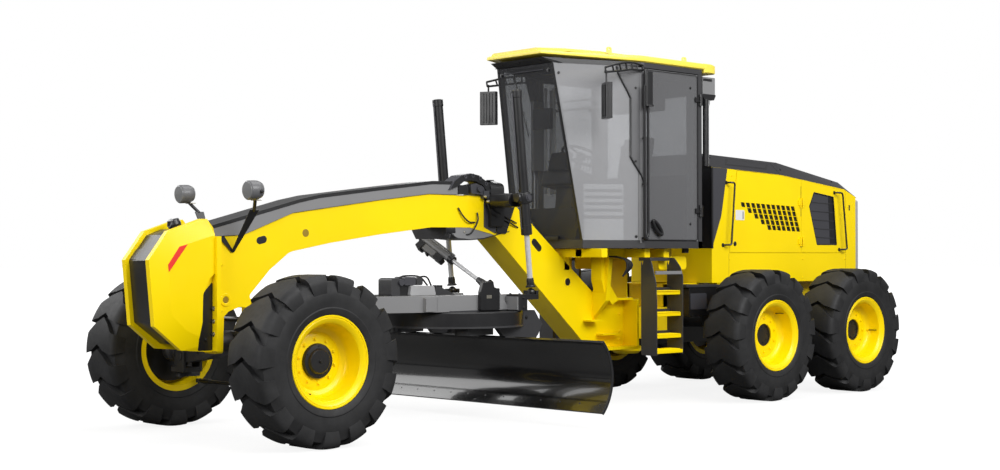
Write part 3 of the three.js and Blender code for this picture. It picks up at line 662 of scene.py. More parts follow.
def tyre_rubber(shape):
    """A carcass with chevron blocks whose points lead the turning tyre, and notched shoulders."""
    half, top = TYRE_HALF, TYRE_R
    wall = [(353, 204), (362, 210), (380, 214), (394, 219), (402, 220), (410, 216), (450, 220), (505, 222),
            (530, 216), (560, 206), (595, 198), (CHEVRON["base"], 180)]
    outer = [(r, min(x, half)) for r, x in wall]
    inner = [(r, -x) for r, x in reversed(outer)]
    shape.lathe([*outer, (CHEVRON["base"], 0), *inner, (340, -170), (340, 170), outer[0]], (0, 0, 0), "x", 72)
    surface = [(509, half - 3.5), (528, half - 0.5), (560, half), (590, half - 0.5), (614, half - 5),
               (632, half - 16), (643, half - 32), (top - 2, half - 60), (top, 90)]
    sunk = [(512, half - 12), (528, half - 22), (556, half - 32), (590, half - 38), (598, half - 42),
            (600, half - 50), (600, half - 58), (600, half - 70), (600, 90)]
    path = [*surface, (top, 0), *[(r, -x) for r, x in reversed(surface)]]
    under = [*sunk, (600, 0), *[(r, -x) for r, x in reversed(sunk)]]
    step, across = 7, len(path)
    pitch = 2 * math.pi / BLOCKS
    for block in range(BLOCKS):
        points = []
        for line in (path, under):
            for radius, x in line:
                lead = math.radians(CHEVRON["lead"]) * max(0.0, 1 - abs(x) / (half - 32))
                wide = min(1.0, max(0.0, (abs(x) - half + 120) / 70))
                gap = math.radians(CHEVRON["gap"] + CHEVRON["shoulder"] * wide) * top / radius
                for k in range(step + 1):
                    a = pitch * block - lead + gap / 2 + (pitch - gap) * k / step
                    points.append((x, -radius * math.sin(a), radius * math.cos(a)))
        row = step + 1
        low = across * row
        faces = []
        for i in range(across - 1):
            for k in range(step):
                a = i * row + k
                faces.append((a, a + 1, a + row + 1, a + row))
                faces.append((low + a, low + a + row, low + a + row + 1, low + a + 1))
            for a in (i * row, i * row + step):
                faces.append((a, a + row, low + a + row, low + a))
        for k in range(step):
            for a in (k, (across - 1) * row + k):
                faces.append((a, a + 1, low + a + 1, low + a))
        shape.add(points, faces)
    return shape


def rim_metal(shape, steered):
    """A dished rim with a double lip, ten studs and the hub behind them."""
    disc = 24 if steered else 46
    step = disc - 18
    shape.lathe([(352, 184), (352, 200), (347, 206), (338, 206), (333, 200), (328, 203), (318, 199),
                 (298, 186),
                 (289, 176), (285, 150), (280, step + 66), (270, step + 34), (252,
                                                                              step + 16), (220, step + 8),
                 (196, disc), (112, disc), (112, disc - 26), (290, disc - 28), (306, -150), (306, -200),
                 (352, -200), (352, -184), (322, -176), (322, 176), (352, 184)], (0, 0, 0), "x", 96)
    for i in range(10):
        a = 2 * math.pi * (i + 0.5) / 10
        shape.bolt((disc, 168 * math.cos(a), 168 * math.sin(a)), (1, 0, 0), 12)
    shape.use(BLACK)
    shape.lathe([(0, -104), (268, -104), (276, disc - 34), (0, disc - 30)], (0, 0, 0), "x", 64)
    if steered:
        shape.lathe([(0, disc - 30), (134, disc - 30), (134, disc + 14), (127, disc + 26), (98, disc + 30),
                     (92, disc + 44), (84, disc + 50), (0, disc + 52)], (0, 0, 0), "x", 64)
        for i in range(6):
            a = 2 * math.pi * i / 6
            shape.bolt((disc + 25, 113 * math.cos(a), 113 * math.sin(a)), (1, 0, 0), 7)
        shape.bolt((disc + 51, 0, 0), (1, 0, 0), 12)
    else:
        shape.lathe([(0, disc - 30), (112.5, disc - 30), (112.5, disc - 12), (104, disc - 12),
                     (100, disc - 22),
                     (0, disc - 20)], (0, 0, 0), "x", 64)
        for i in range(8):
            a = 2 * math.pi * i / 8
            shape.bolt((disc - 21, 78 * math.cos(a), 78 * math.sin(a)), (1, 0, 0), 6)
    shape.pipe([(disc + 10, 0, 262), (disc + 50, 0, 268), (disc + 110, 0, 270)], 5)
    shape.use(YELLOW).rod((disc + 8, 0, 260), (disc + 20, 0, 262), 11)
    return shape


def wheels():
    spots = {"front": 0, "middle": MIDDLE_Y, "rear": REAR_Y}
    valve = {"front": 150, "middle": -38, "rear": -92}
    for side, s in SIDES:
        for tag, y in spots.items():
            node = f"{tag}_{side}"
            spot = Matrix.Translation((s * TRACK / 2, y, WHEEL_Z))
            rubber = Shape(RUBBER)
            rubber.side, rubber.place = s, spot
            piece(f"{node}_tyre", tyre_rubber(rubber), f"wheel_{node}", [f"tyre_{node}"],
                  bevel=0)
            metal = Shape(YELLOW)
            metal.side, metal.place = s, spot @ Matrix.Rotation(math.radians(valve[tag]), 4, "X")
            piece(f"{node}_rim", rim_metal(metal, tag == "front"), f"wheel_{node}",
                  [f"rim_{node}"], bevel=0)


# ---------- front axle and steering ----------
LEAN_X, LEAN_Z, BAR_Z, LEAN_GAP = 700, 600, 930, 65.3
KINGPIN_X = 830


def front_axle():
    axle = Shape(CASTING)
    half = [(0, 660), (120, 660), (300, 610), (620, 556), (660, 556), (660, 644), (640, 648), (350, 745),
            (150, 835), (0, 835)]
    outline = rounded([*half, *[(-x, z) for x, z in reversed(half[1:-1])]], 24)
    axle.prism("y", outline, -LEAN_GAP + 1, LEAN_GAP - 1, holes=[rounded([(s * 210, 690), (s * 330, 655),
               (s * 330, 715), (s * 210, 755)][::s], 18) for s in (1, -1)])
    for s in (1, -1):
        axle.lathe([(22, -64), (52, -64), (52, 64), (22, 64), (22, -64)], (s * LEAN_X, 0, LEAN_Z), "y", 40)
        axle.prism("y", [(s * 590, 556), (s * 655, 556), (s * 655, 644), (s * 590, 646)], -50, 50)
        axle.bolt((s * 470, -LEAN_GAP, 650), (0, -1, 0), 12)
    axle.rod((0, -178, 750), (0, 128, 750), 85, steps=48)
    axle.use(BLACK).rod((0, -182, 750), (0, -176, 750), 62, steps=40)
    piece("front_axle_beam", axle, "front_chassis", ["front_axle"], bevel=5)


def steering():
    for side, s in SIDES:
        bracket = Shape(CASTING)
        bracket.side = s
        plate = rounded([(645, 470), (770, 470), (770, 900), (730, 970), (670, 970), (645, 900)], 22)
        for y in (-LEAN_GAP - 26, LEAN_GAP):
            bracket.prism("y", plate, y, y + 26)
        for z in ((WHEEL_Z + 135, WHEEL_Z + 175), (470, 510)):
            bracket.prism("z", rounded([(650, -91), (840, -91), (890, -50), (890, 50), (840, 91),
                                        (650, 91)], 20), *z)
        for z in (LEAN_Z, BAR_Z):
            bracket.rod((LEAN_X, -LEAN_GAP - 34, z), (LEAN_X, LEAN_GAP + 30, z), 20)
            for y in (-LEAN_GAP - 36, LEAN_GAP + 30):
                bracket.rod((LEAN_X, y, z), (LEAN_X, y + 8, z), 32)
        bracket.rod((KINGPIN_X, 0, 812), (KINGPIN_X, 0, 838), 46)
        piece(f"lean_bracket_{side}_casting", bracket, f"lean_bracket_{side}",
              [f"lean_bracket_{side}"], bevel=4)
        knuckle = Shape(CASTING)
        knuckle.side = s
        knuckle.lathe([(0, 511), (44, 511), (58, 530), (58, 765), (44, 784), (0, 784)], (KINGPIN_X, 0, 0),
                      "z", 40)
        knuckle.rod((KINGPIN_X, 0, 420), (KINGPIN_X, 0, 840), 32)
        knuckle.lathe([(0, 0), (82, 0), (80, 60), (104, 80), (104, 141), (0, 141)], (KINGPIN_X, 0, WHEEL_Z),
                      "x", 48)
        knuckle.prism("z", rounded([(800, -40), (860, -40), (858, 176), (802, 176)], 26), 422, 458)
        piece(f"knuckle_{side}_casting", knuckle, f"knuckle_{side}", [f"knuckle_{side}"],
              bevel=4)
    bar = Shape(BLACK)
    bar.rod((-640, 0, BAR_Z), (640, 0, BAR_Z), 22)
    for s in (1, -1):
        bar.rod((s * 560, 0, BAR_Z), (s * 672, 0, BAR_Z), 28)
        bar.lathe([(21, -44), (34, -44), (34, 44), (21, 44), (21, -44)], (s * LEAN_X, 0, BAR_Z), "y", 32)
    piece("lean_tie_bar", bar, "lean_bar", ["lean_bar"], bevel=2)
    end = Shape(BLACK)
    end.rod((KINGPIN_X, 146, 380), (KINGPIN_X, 194, 380), 22).rod((KINGPIN_X, 170, 380),
                                                                  (KINGPIN_X, 170, 419), 12)
    piece("tie_rod_ball", end, "tie_rod_end", ["tie_rod_end"], bevel=2)
    tie = Shape(BLACK)
    tie.rod((-KINGPIN_X + 20, 170, 380), (KINGPIN_X - 23, 170, 380), 16)
    tie.rod((-760, 170, 380), (-640, 170, 380), 21).rod((640, 170, 380), (760, 170, 380), 21)
    tie.lathe([(0, -18), (24, -18), (26, 0), (24, 18), (0, 18)], (-KINGPIN_X, 170, 380), "z", 24)
    piece("tie_rod_bar", tie, "tie_rod", ["tie_rod"], bevel=2)


# ---------- front frame ----------
FRAME_TOP = 1984
FLANGE_Y = -340


def front_frame():
    beam = Shape(YELLOW)
    outline = [(FLANGE_Y + 4, 705), (-253, 700), (-253, 850), (-225, 935), (-160, 1000), (-57, 1034),
               (20, 1024),
               (60, 1070), (30, 1120), (227, 1325), (422, 1471), (825, 1546), (1355, 1622), (1939, 1691),
               (2389, 1693), (2696, 1629), (3953, 520), (4500, 520), (4500, 1004), (4096, 1004), (2949, 1910),
               (2800, FRAME_TOP), (1904, FRAME_TOP), (1355, 1918), (450, 1790), (-30, 1605), (FLANGE_Y + 4, 1588)]
    radii = [0, 4, 60, 60, 60, 40, 18, 30, 40, 90, 160, 200, 300, 300, 160, 160, 260, 12, 8, 60, 160, 90,
             160, 160,
             200, 120, 0]
    holes = [slot_hole(150, 1567, 20, 30, 14), disc(581, 1627, 33), slot_hole(3234, 1539, 42, 34, -42),
             disc(3649, 1186, 36), disc(-187, 1092, 26)]
    beam.prism("x", rounded(outline, radii, 5), -BEAM, BEAM)
    # each hole in the beam's sides is drawn as a thin plate painted with the shade inside it: black, or the seam
    # shade's yellow-brown
    for hole, paint in zip(holes, (BLACK, SEAM_SHADE, BLACK, BLACK, SEAM_SHADE)):
        beam.use(paint).prism("x", hole, -BEAM - 1, BEAM + 1)
    beam.use(YELLOW)
    for y0, y1 in ((-236, -181), (131, 229)):
        beam.prism("y", rounded([(-120, 1090), (-100, 665), (100, 665), (120, 1090)], 30), y0, y1)
    beam.prism("x", rounded([(FLANGE_Y, 695), (-300, 695), (-300, 1592), (FLANGE_Y, 1592)], 6), -262, 262)
    for s in (1, -1):
        beam.side = s
        beam.lathe([(26, 0), (52, 0), (50, 7), (30, 7), (26, 0)], (BEAM - 1, -187, 1092), "x", 40)
        beam.lathe([(36, 0), (50, 0), (48, 5), (38, 5), (36, 0)], (BEAM - 1, 3649, 1186), "x", 40)
        for z in (760, 900, 1130, 1290, 1440, 1540):
            beam.bolt((222, -300, z), (0, 1, 0), 11)
        gusset = [(BEAM - 10, -300), (226, -300), (BEAM - 10, -200)]
        for z in (1000, 1360):
            beam.prism("z", gusset, z, z + 16)
    beam.side = 1
    rear_of_front_frame(beam.use(YELLOW))
    piece("front_frame_weldment", beam, "front_chassis", ["front_frame"], bevel=5)


def rear_of_front_frame(beam):
    """The deep box below the cab: hinge ears, decks, curved brackets and the cab's sub-frame."""
    pin_y = 4640
    beam.lathe([(0, 455), (120, 455), (150, 480), (150, 522), (0, 522)], (0, pin_y, 0), "z", 40)
    for z in ((940, 1004), (520, 584)):
        beam.prism("z", rounded([(-120, 4480), (120, 4480), (120, pin_y + 20), (80, pin_y + 118),
                                 (-80, pin_y + 118),
                                 (-120, pin_y + 20)], 60), *z)
    beam.rod((0, pin_y, 560), (0, pin_y, 1012), 45, steps=32)
    for s in (1, -1):
        beam.side = s
        beam.prism("x", rounded([(3600, 1420), (4900, 1420), (4900, 1508), (3600, 1508)], 6), 300, 380)
        beam.prism("x", rounded([(4480, 1300), (4900, 1300), (4900, 1430), (4480, 1430)], 40), 560, 572)
        hook = [(3938, 1420), (4040, 1420), (4040, 1180), (4178, 1005), (4090, 960), (3980, 1080),
                (3938, 1200)]
        beam.prism("x", rounded(hook, [4, 4, 80, 10, 10, 80, 60], 6), 180, 320)
        beam.prism("y", rounded([(90, 760), (330, 1000), (380, 1430), (300, 1430), (100, 960)], 20), 3984,
                   4036)
        beam.box((BEAM - 8, 250), (4070, 4470), (1000, 1024))
        beam.box((BEAM - 8, 320), (3960, 4500), (520, 548))
        beam.box((BEAM - 8, 260), (3860, 4020), (800, 816))
        beam.box((BEAM - 8, 240), (4040, 4300), (660, 676))
        beam.prism("x", [(4440, 548), (4464, 548), (4464, 1000), (4440, 1000)], BEAM - 8, 330)
        for z in (610, 690, 860, 940):
            beam.bolt((BEAM, 4380, z), (1, 0, 0), 12)
        for y in (3680, 4300, 4820):
            beam.use(PLASTIC).rod((340, y, 1500), (340, y, 1545), 42)
            beam.use(YELLOW)
    beam.side = 1
    for y in (3600, 4200, 4480):
        beam.prism("x", rounded([(y, 1422), (y + 80, 1422), (y + 80, 1506), (y, 1506)], 8), -640, 640)
    beam.box((-BEAM, BEAM), (4484, 4499), (1000, 1430))
    beam.box((-BEAM, BEAM), (3604, 3676), (1300, 1430))


def beam_cover():
    cover = Shape(GREY)
    top = [(1939, 2087), (1355, 2016), (722, 1935), (516, 1892), (FLANGE_Y, 1662)]
    low = [(FLANGE_Y, 1592), (-30, 1607), (450, 1792), (1355, 1920), (1904, FRAME_TOP + 2),
           (2250, FRAME_TOP + 2)]
    outline = rounded([*low, (2250, 2095), *top], [0, 90, 200, 200, 160, 0, 10, 160, 160, 160, 160, 0], 5)
    cover.prism("x", outline, -BEAM - 13, BEAM + 13)
    cover.use(BLACK)
    lift, drop = 14, 16
    crest = [(2246, 2092), (1939, 2087), (1355, 2016), (722, 1935), (516, 1892), (FLANGE_Y + 6, 1662)]
    strip = rounded([(y, z + lift) for y, z in crest] + [(y, z - drop) for y, z in reversed(crest)],
                    [0, 160, 160, 160, 160, 0, 0, 160, 160, 160, 160, 0], 5)
    cover.prism("x", strip, -BEAM - 15, BEAM + 15)
    for y, z in ((0, 1752), (800, 1950), (1500, 2038)):
        for s in (1, -1):
            cover.bolt((s * 110, y, z), (0, -0.14, 1), 8)
    piece("beam_cover_panel", cover, "front_chassis", ["beam_cover"], bevel=4)


# ---------- nose ----------
def nose():
    back = FLANGE_Y - 0.4
    slab, rim, side = 152, 205, 232
    face = [(back, 690), (-622, 714), (-854, 905), (-902, 1409), (-739, 1629), (-445, 1727), (-395, 1727),
            (back, 1660)]
    cheek_line = [(back, 760), (-592, 866), (-720, 986), (-747, 1386), (-651, 1513), (back, 1600)]
    recess = rounded([(back + 30, 650), (-480, 650), (-480, 796), (-450, 925), (-445, 1140), (-388, 1261),
                      (back + 30, 1330)], [0, 0, 20, 30, 30, 20, 0])
    body = Shape(YELLOW)
    for s in (1, -1):
        cheek = Shape(YELLOW)
        cheek.side = s
        cheek.hull([(x, y, z) for y, z in face for x in (slab, rim)] + [(side, y, z) for y, z in cheek_line])
        tool = Shape(YELLOW)
        tool.side = s
        tool.prism("x", recess, 196, 330)
        cheek.cut(tool)
        body.take(cheek)
        body.side = s
        # black plate lining the back of the cheek's recess: painted shade of the recess
        body.use(BLACK).prism("x", rounded([(back, 705), (-470, 705), (-470, 796), (-440, 925), (-436, 1140),
                                            (back, 1240)], 10), 194, 199)
        body.use(ZINC)
        for z in (830, 930, 1030):
            body.bolt((214, back, z), (0, -1, 0), 13)
        body.use(BLACK).bolt((199, -400, 790), (1, 0, 0), 12)
        body.use(YELLOW)
    body.side = 1
    nose_slab(body.use(BLACK), slab)
    body.use(RED)
    for s in (1, -1):
        body.side = s
        reflector_strip(body, [Vector(c) for c in ((233, -753, 1374), (233, -746, 1318), (233, -584, 1529),
                                                   (233, -655, 1511))])
    body.side = 1
    piece("nose_push_block", body, "front_chassis", ["nose_weight"], bevel=5,
          angle=math.radians(9))


def nose_slab(body, slab):
    """The dark middle between the two cheeks, with its grey knee and the lamp recess above."""
    line = [(-345, 735), (-595, 752), (-823, 925), (-870, 1402), (-720, 1600), (-595, 1648), (-575, 1600),
            (-455, 1640), (-345, 1640)]
    body.prism("x", rounded(line, [0, 30, 20, 6, 6, 4, 4, 4, 0]), -slab - 4, slab + 4)
    body.use(DARK)
    body.hull([(x, y, z) for x in (-50, slab + 2) for y, z in ((-874, 1404), (-862, 1418))]
              + [(slab + 2, -812, 1485), (40, -812, 1485)])
    body.prism("x", [(-868, 1412), (-862, 1412), (-801, 1492), (-807, 1492)], -slab, slab)
    body.use(BLACK)
    body.box((-74, 74), (-655, -565), (1600, 1622))
    body.lathe([(0, 0), (50, 0), (54, 30), (46, 62), (0, 68)], (0, -555, 1662), (0, -0.35, 1), 40)
    body.use(LENS).lathe([(0, 0), (38, 0), (32, 12), (0, 16)], (0, -596, 1692), (0, -1, 0.2), 40)


def reflector_strip(body, corners):
    """A thin red parallelogram stuck on the upper, leaning side of a cheek."""
    out = (corners[1] - corners[0]).cross(corners[2] - corners[0]).normalized()
    if out.x < 0:
        out = -out
    body.hull([c + out * lift for c in corners for lift in (-12, 2.5)])


def work_lamps():
    """Two round-backed lamps, each on a V of flat bars from the side of the frame."""
    for side, s in SIDES:
        lamp = Shape(BLACK)
        lamp.side = s
        low = (BEAM + 8, -128, 1470)
        for head, wide in (((404, -90, 1800), 42), ((BEAM + 8, -285, 1650), 40)):
            way = Vector(head) - Vector(low)
            across = Vector((0, 1, 0))
            flat = Vector((0.78, 0, -0.62)) * 4
            lamp.hull([Vector(low) + across * k * 13 + flat * j for k in (-1, 1) for j in (-1, 1)]
                      + [Vector(head) + across * k * wide + flat * j for k in (-1, 1) for j in (-1, 1)])
        lamp.pipe([(400, -92, 1792), (470, -130, 1862), (496, -150, 1894)], 15, 6)
        lamp.use(ZINC).box((440, 520), (-150, -100), (1868, 1875))
        lamp.use(LAMP_GREY)
        shell = [(0, 72), (34, 70), (62, 52), (74, 22), (76, -8), (76, -58), (70, -66), (0, -66)]
        lamp.lathe([(r, h) for r, h in shell], (501, -157, 1948), (0, 0.97, 0.05), 40)
        lamp.use(LENS).lathe([(0, -74), (66, -70), (72, -62), (0, -60)], (501, -157, 1948), (0, 0.97, 0.05),
                             40)
        lamp.use(BLACK).lathe([(0, 0), (15, 0), (15, 18), (9, 24), (0, 24)], (566, -140, 1938), (1, 0, 0), 20)
        piece(f"work_lamp_{side}", lamp, "front_chassis", bevel=2)


# ---------- saddle ----------
LIFT_X, LIFT_TOP, LIFT_BALL = 540, (2593, 2916), (2778, 1110)
TRUNNION_Z, TUBE_END_Z = 1960, 1626
LIFT_WAY = Vector((0, LIFT_BALL[0] - LIFT_TOP[0], LIFT_BALL[1] - LIFT_TOP[1])).normalized()
TRUNNION_Y = LIFT_TOP[0] + (LIFT_BALL[0] - LIFT_TOP[0]) * (LIFT_TOP[1] - TRUNNION_Z) / (LIFT_TOP[1] - LIFT_BALL[1])
SHIFT_HEAD, SHIFT_EYE = Vector((-600, 2400, 1640)), Vector((200, 2500, 1190))


def saddle():
    """The bridge over the frame that carries both lift cylinders, with its index arc and hoses."""
    hub = BEAM + 1
    body = Shape(BLACK)
    body.prism("y", rounded([(hub + 44, 1705), (hub + 44, 2095), (60, 2128), (-60, 2128), (-hub - 44, 2095),
                             (-hub - 44, 1705), (-hub, 1705), (-hub, FRAME_TOP + 2), (hub, FRAME_TOP + 2),
                             (hub, 1705)], [6, 60, 30, 30, 60, 6, 0, 0, 0, 0]), 2610, 2776)
    for s in (1, -1):
        body.side = s
        body.prism("x", rounded([(2560, 1925), (2600, 1998), (2790, 1998), (2820, 1925), (2780, 1880),
                                 (2600, 1880)],
                                30), hub, 470)
        for y0, y1 in ((TRUNNION_Y - 84, TRUNNION_Y - 58), (TRUNNION_Y + 58, TRUNNION_Y + 84)):
            body.prism("x", rounded([(y0, 1925), (y1, 1925), (y1, 1995), (y0, 1995)], 4), 440, 575)
        body.lathe([(0, 0), (44, 0), (40, 12), (0, 14)], (LIFT_X, TRUNNION_Y - 84, TRUNNION_Z), (0, -1, 0),
                   32)
        body.prism("x", rounded([(2706, 1642), (2830, 1642), (2992, 2016), (2783, 2016)], 10), hub - 2,
                   hub + 12)
        body.use(SMOKE).prism("x", rounded([(2560, 1700), (2700, 1642), (2783, 2016), (2560, 1990)], 10),
                              hub - 2, hub + 4)
        body.use(BLACK)
        body.side = 1
    for x in (-90, 90):
        body.lathe([(0, 0), (40, 0), (36, 8), (0, 8)], (x, 2690, 2128), "z", 24)
    hx, hy, hz = SHIFT_HEAD
    body.hull([(x, y, z) for x in (hx - 30, -hub) for y in (hy - 20, hy + 44) for z in (1712, 1768)])
    body.rod((hx, hy, hz + 35), (hx, hy, 1722), 22)
    saddle_arc(body)
    saddle_fittings(body)
    piece("saddle_bridge", body, "front_chassis", ["saddle"], bevel=4)


def saddle_arc(body):
    """The half ring of index holes, and the box under the frame whose sides are painted grey."""
    arc = [(2130, 2030), (2180, 2105), (2260, 2155), (2370, 2176), (2480, 2160), (2570, 2115), (2640, 2045),
           (2672, 1960), (2650, 1890), (2615, 1850)]
    inner = [(2585, 1885), (2605, 1950), (2580, 2020), (2520, 2080), (2440, 2112), (2370, 2120), (2290, 2105),
             (2220, 2060)]
    body.use(BLACK).prism("x", [*arc, *inner], 44, 178)
    for y, z in ((2310, 2152), (2400, 2162), (2490, 2140), (2560, 2095), (2618, 2030), (2644, 1955)):
        body.use(SMOKE).lathe([(9, 0), (19, 0), (19, 4), (9, 4), (9, 0)], (178, y, z), "x", 16)
    # grey band along the left of the black arc's top: painted highlight where the top catches the light
    body.use(SMOKE).prism("x", [(2130, 2030), (2180, 2105), (2260, 2155), (2370, 2176), (2480, 2160),
                                (2480, 2166),
                                (2370, 2183), (2258, 2162), (2176, 2111), (2124, 2032)], 40, 180)
    under = rounded([(2122, 1700), (2122, 1680), (2230, 1600), (2400, 1588), (2560, 1600), (2740, 1640),
                     (2880, 1668),
                     (2880, 1700)], [0, 10, 80, 60, 60, 60, 6, 0])
    body.use(GREY).prism("x", under, -BEAM + 2, BEAM - 4)
    low = [(y, z) for y, z in under if z < 1690]
    body.use(BLACK).prism("x", [*low, *[(y, z - 9) for y, z in reversed(low)]], -BEAM - 4, BEAM + 2)
    body.prism("y", rounded([(-360, 1700), (BEAM - 1, 1700), (BEAM - 1, 1640), (60, 1590), (-280, 1590)],
                            20), 2110, 2220)
    body.use(ZINC).bolt((BEAM - 4, 2330, 1650), (1, 0, 0), 7)


def saddle_fittings(body):
    """Lock pin housing, valve block, hose ends and the hoses that leave them."""
    body.use(BLACK).box((60, 172), (2236, 2350), (1992, 2074))
    body.use(SMOKE).prism("x", rounded([(2380, 2000), (2560, 1990), (2530, 2060), (2440, 2096),
                                        (2370, 2080)], 16), 70, 182)
    body.rod((182, 2470, 2046), (205, 2470, 2046), 30)
    body.box((70, 190), (2520, 2590), (1960, 2030))
    body.use(ZINC)
    for x, y, z in ((190, 2560, 1935), (196, 2600, 1905), (186, 2532, 1978)):
        body.rod((x, y, z), (x + 26, y + 10, z - 4), 13, steps=12)
    body.use(YELLOW).rod((176, 2612, 1968), (206, 2618, 1964), 16, steps=12)
    body.use(RUBBER)
    out = BEAM + 12
    for line in ([(out, 2240, 1870), (out + 6, 2290, 1800), (out + 10, 2360, 1745), (out, 2440, 1740)],
                 [(out, 2470, 1830), (out + 14, 2468, 1770), (out + 8, 2440, 1700), (out, 2390, 1640),
                  (out - 30, 2330, 1625)],
                 [(196, 2600, 1905), (200, 2650, 1860), (190, 2700, 1830), (170, 2800, 1800),
                  (out, 2960, 1740)],
                 [(190, 2560, 1930), (196, 2600, 1840), (184, 2700, 1790), (170, 2820, 1760), (out, 2980, 1700)]):
        body.pipe(curve_through(line, 6), 7, 8)


# ---------- cylinders ----------
def along(way, origin, distance):
    return tuple(Vector(origin) + Vector(way) * distance)


def lift_cylinders():
    for side, s in SIDES:
        origin = (LIFT_X, TRUNNION_Y, TRUNNION_Z)
        top = (LIFT_TOP[1] - TRUNNION_Z) / LIFT_WAY.z
        low = (TUBE_END_Z - TRUNNION_Z) / LIFT_WAY.z
        tube = Shape(BLACK)
        tube.side = s
        tube.lathe([(0, top), (30, top), (46, top + 14), (47, low - 50), (44, low - 46), (44, low - 20),
                    (26, low - 20),
                    (26, top + 60), (0, top + 60)], origin, LIFT_WAY, 40)
        tube.use(BLACK).lathe([(26, low - 92), (51, low - 88), (51, low - 4), (46, low), (26, low),
                               (26, low - 92)],
                              origin, LIFT_WAY, 40)
        tube.lathe([(30, top - 6), (51, top), (51, top + 58), (48, top + 62), (0, top + 62), (0, top - 6)],
                   origin, LIFT_WAY, 40)
        tube.lathe([(44, -52), (60, -46), (64, -20), (64, 24), (58, 52), (44, 56), (44, -52)], origin,
                   LIFT_WAY, 40)
        tube.use(SMOKE).rod((LIFT_X, TRUNNION_Y - 55, TRUNNION_Z), (LIFT_X, TRUNNION_Y + 55, TRUNNION_Z), 33)
        tube.rod((LIFT_X + 46, TRUNNION_Y, TRUNNION_Z), (LIFT_X + 66, TRUNNION_Y, TRUNNION_Z), 34)
        tube.rod((LIFT_X + 66, TRUNNION_Y, TRUNNION_Z), (LIFT_X + 74, TRUNNION_Y, TRUNNION_Z), 22)
        port = along(LIFT_WAY, (LIFT_X, TRUNNION_Y - 54, TRUNNION_Z), top + 36)
        tube.pipe(bent([along(LIFT_WAY, (LIFT_X, TRUNNION_Y - 44, TRUNNION_Z), top + 36), port,
                        along(LIFT_WAY, (LIFT_X, TRUNNION_Y - 60, TRUNNION_Z), -70)], 12), 7, 10)
        tube.pipe(bent([along(LIFT_WAY, (LIFT_X, TRUNNION_Y - 44, TRUNNION_Z), low - 50),
                        along(LIFT_WAY, (LIFT_X, TRUNNION_Y - 62, TRUNNION_Z), low - 60),
                        along(LIFT_WAY, (LIFT_X, TRUNNION_Y - 62, TRUNNION_Z), 80)], 12), 7, 10)
        piece(f"lift_cylinder_{side}", tube, f"lift_tube_{side}", [f"lift_tube_{side}"],
              bevel=1.5)
        rod = Shape(CHROME)
        rod.side = s
        eye = (LIFT_BALL[1] - TRUNNION_Z) / LIFT_WAY.z - 44
        rod.lathe([(0, low - 690), (24.5, low - 690), (24.5, eye - 70), (0, eye - 70)], origin, LIFT_WAY, 32)
        rod.use(BLACK).lathe([(0, eye - 86), (30, eye - 84), (34, eye - 60), (34, eye - 22), (46, eye - 12),
                              (46, eye - 2),
                              (0, eye)], origin, LIFT_WAY, 32)
        piece(f"lift_piston_{side}", rod, f"lift_rod_{side}", [f"lift_rod_{side}"], bevel=1)


def shift_cylinder():
    """The slanting centre-shift cylinder with its lock valve underneath."""
    way = (SHIFT_EYE - SHIFT_HEAD).normalized()
    length = (SHIFT_EYE - SHIFT_HEAD).length
    tube = Shape(GREY)
    tube.lathe([(0, 46), (22, 46), (24, 62), (38, 66), (39.5, 76), (39.5, 470), (36, 474), (21, 474),
                (21, 90), (0, 90)],
               SHIFT_HEAD, way, 40)
    tube.use(BLACK).lathe([(21, 462), (43, 466), (43, 510), (38, 514), (21, 514), (21, 462)], SHIFT_HEAD,
                          way, 40)
    tube.lathe([(0, 36), (24, 36), (26, 62), (43, 64), (43, 96), (0, 96)], SHIFT_HEAD, way, 40)
    down = Vector((0.25, -0.5, -0.83)).normalized()
    side = way.cross(down).normalized()
    down = side.cross(way).normalized()

    def bar(start, end, near, far, half, paint, chamfer=14):
        tube.use(paint)
        outline = rounded([(start, near), (end, near), (end, far), (start, far)], chamfer)
        spots = [SHIFT_HEAD + way * a + down * b + side * c for c in (-half, half) for a, b in outline]
        tube.hull([tuple(spot) for spot in spots])

    bar(150, 330, 36, 92, 34, GREY)
    bar(330, 430, 40, 96, 34, BLACK)
    bar(96, 168, 34, 110, 42, BLACK)
    bar(232, 256, 34, 112, 22, BLACK, 6)
    tube.use(GREY).pipe([tuple(SHIFT_HEAD + way * 120 - down * 50),
                         tuple(SHIFT_HEAD + way * 480 - down * 50)], 8, 10)
    piece("shift_cylinder_body", tube, "shift_tube", ["shift_tube"], bevel=1.5)
    rod = Shape(CHROME)
    rod.lathe([(0, 300), (19.5, 300), (19.5, length - 60), (0, length - 60)], SHIFT_HEAD, way, 32)
    rod.use(DARK).lathe([(0, length - 72), (26, length - 70), (30, length - 40), (34, length - 18),
                         (34, length + 22),
                         (22, length + 30), (0, length + 30)], SHIFT_HEAD, way, 32)
    piece("shift_piston", rod, "shift_rod", ["shift_rod"], bevel=1)
    ball = Shape(BLACK).ball(SHIFT_HEAD, 34, 24)
    piece("shift_joint", ball, "shift_yoke", ["shift_yoke"], bevel=0)


# ---------- drawbar, circle and blade ----------
DRAWBAR_Z = 950, 1090


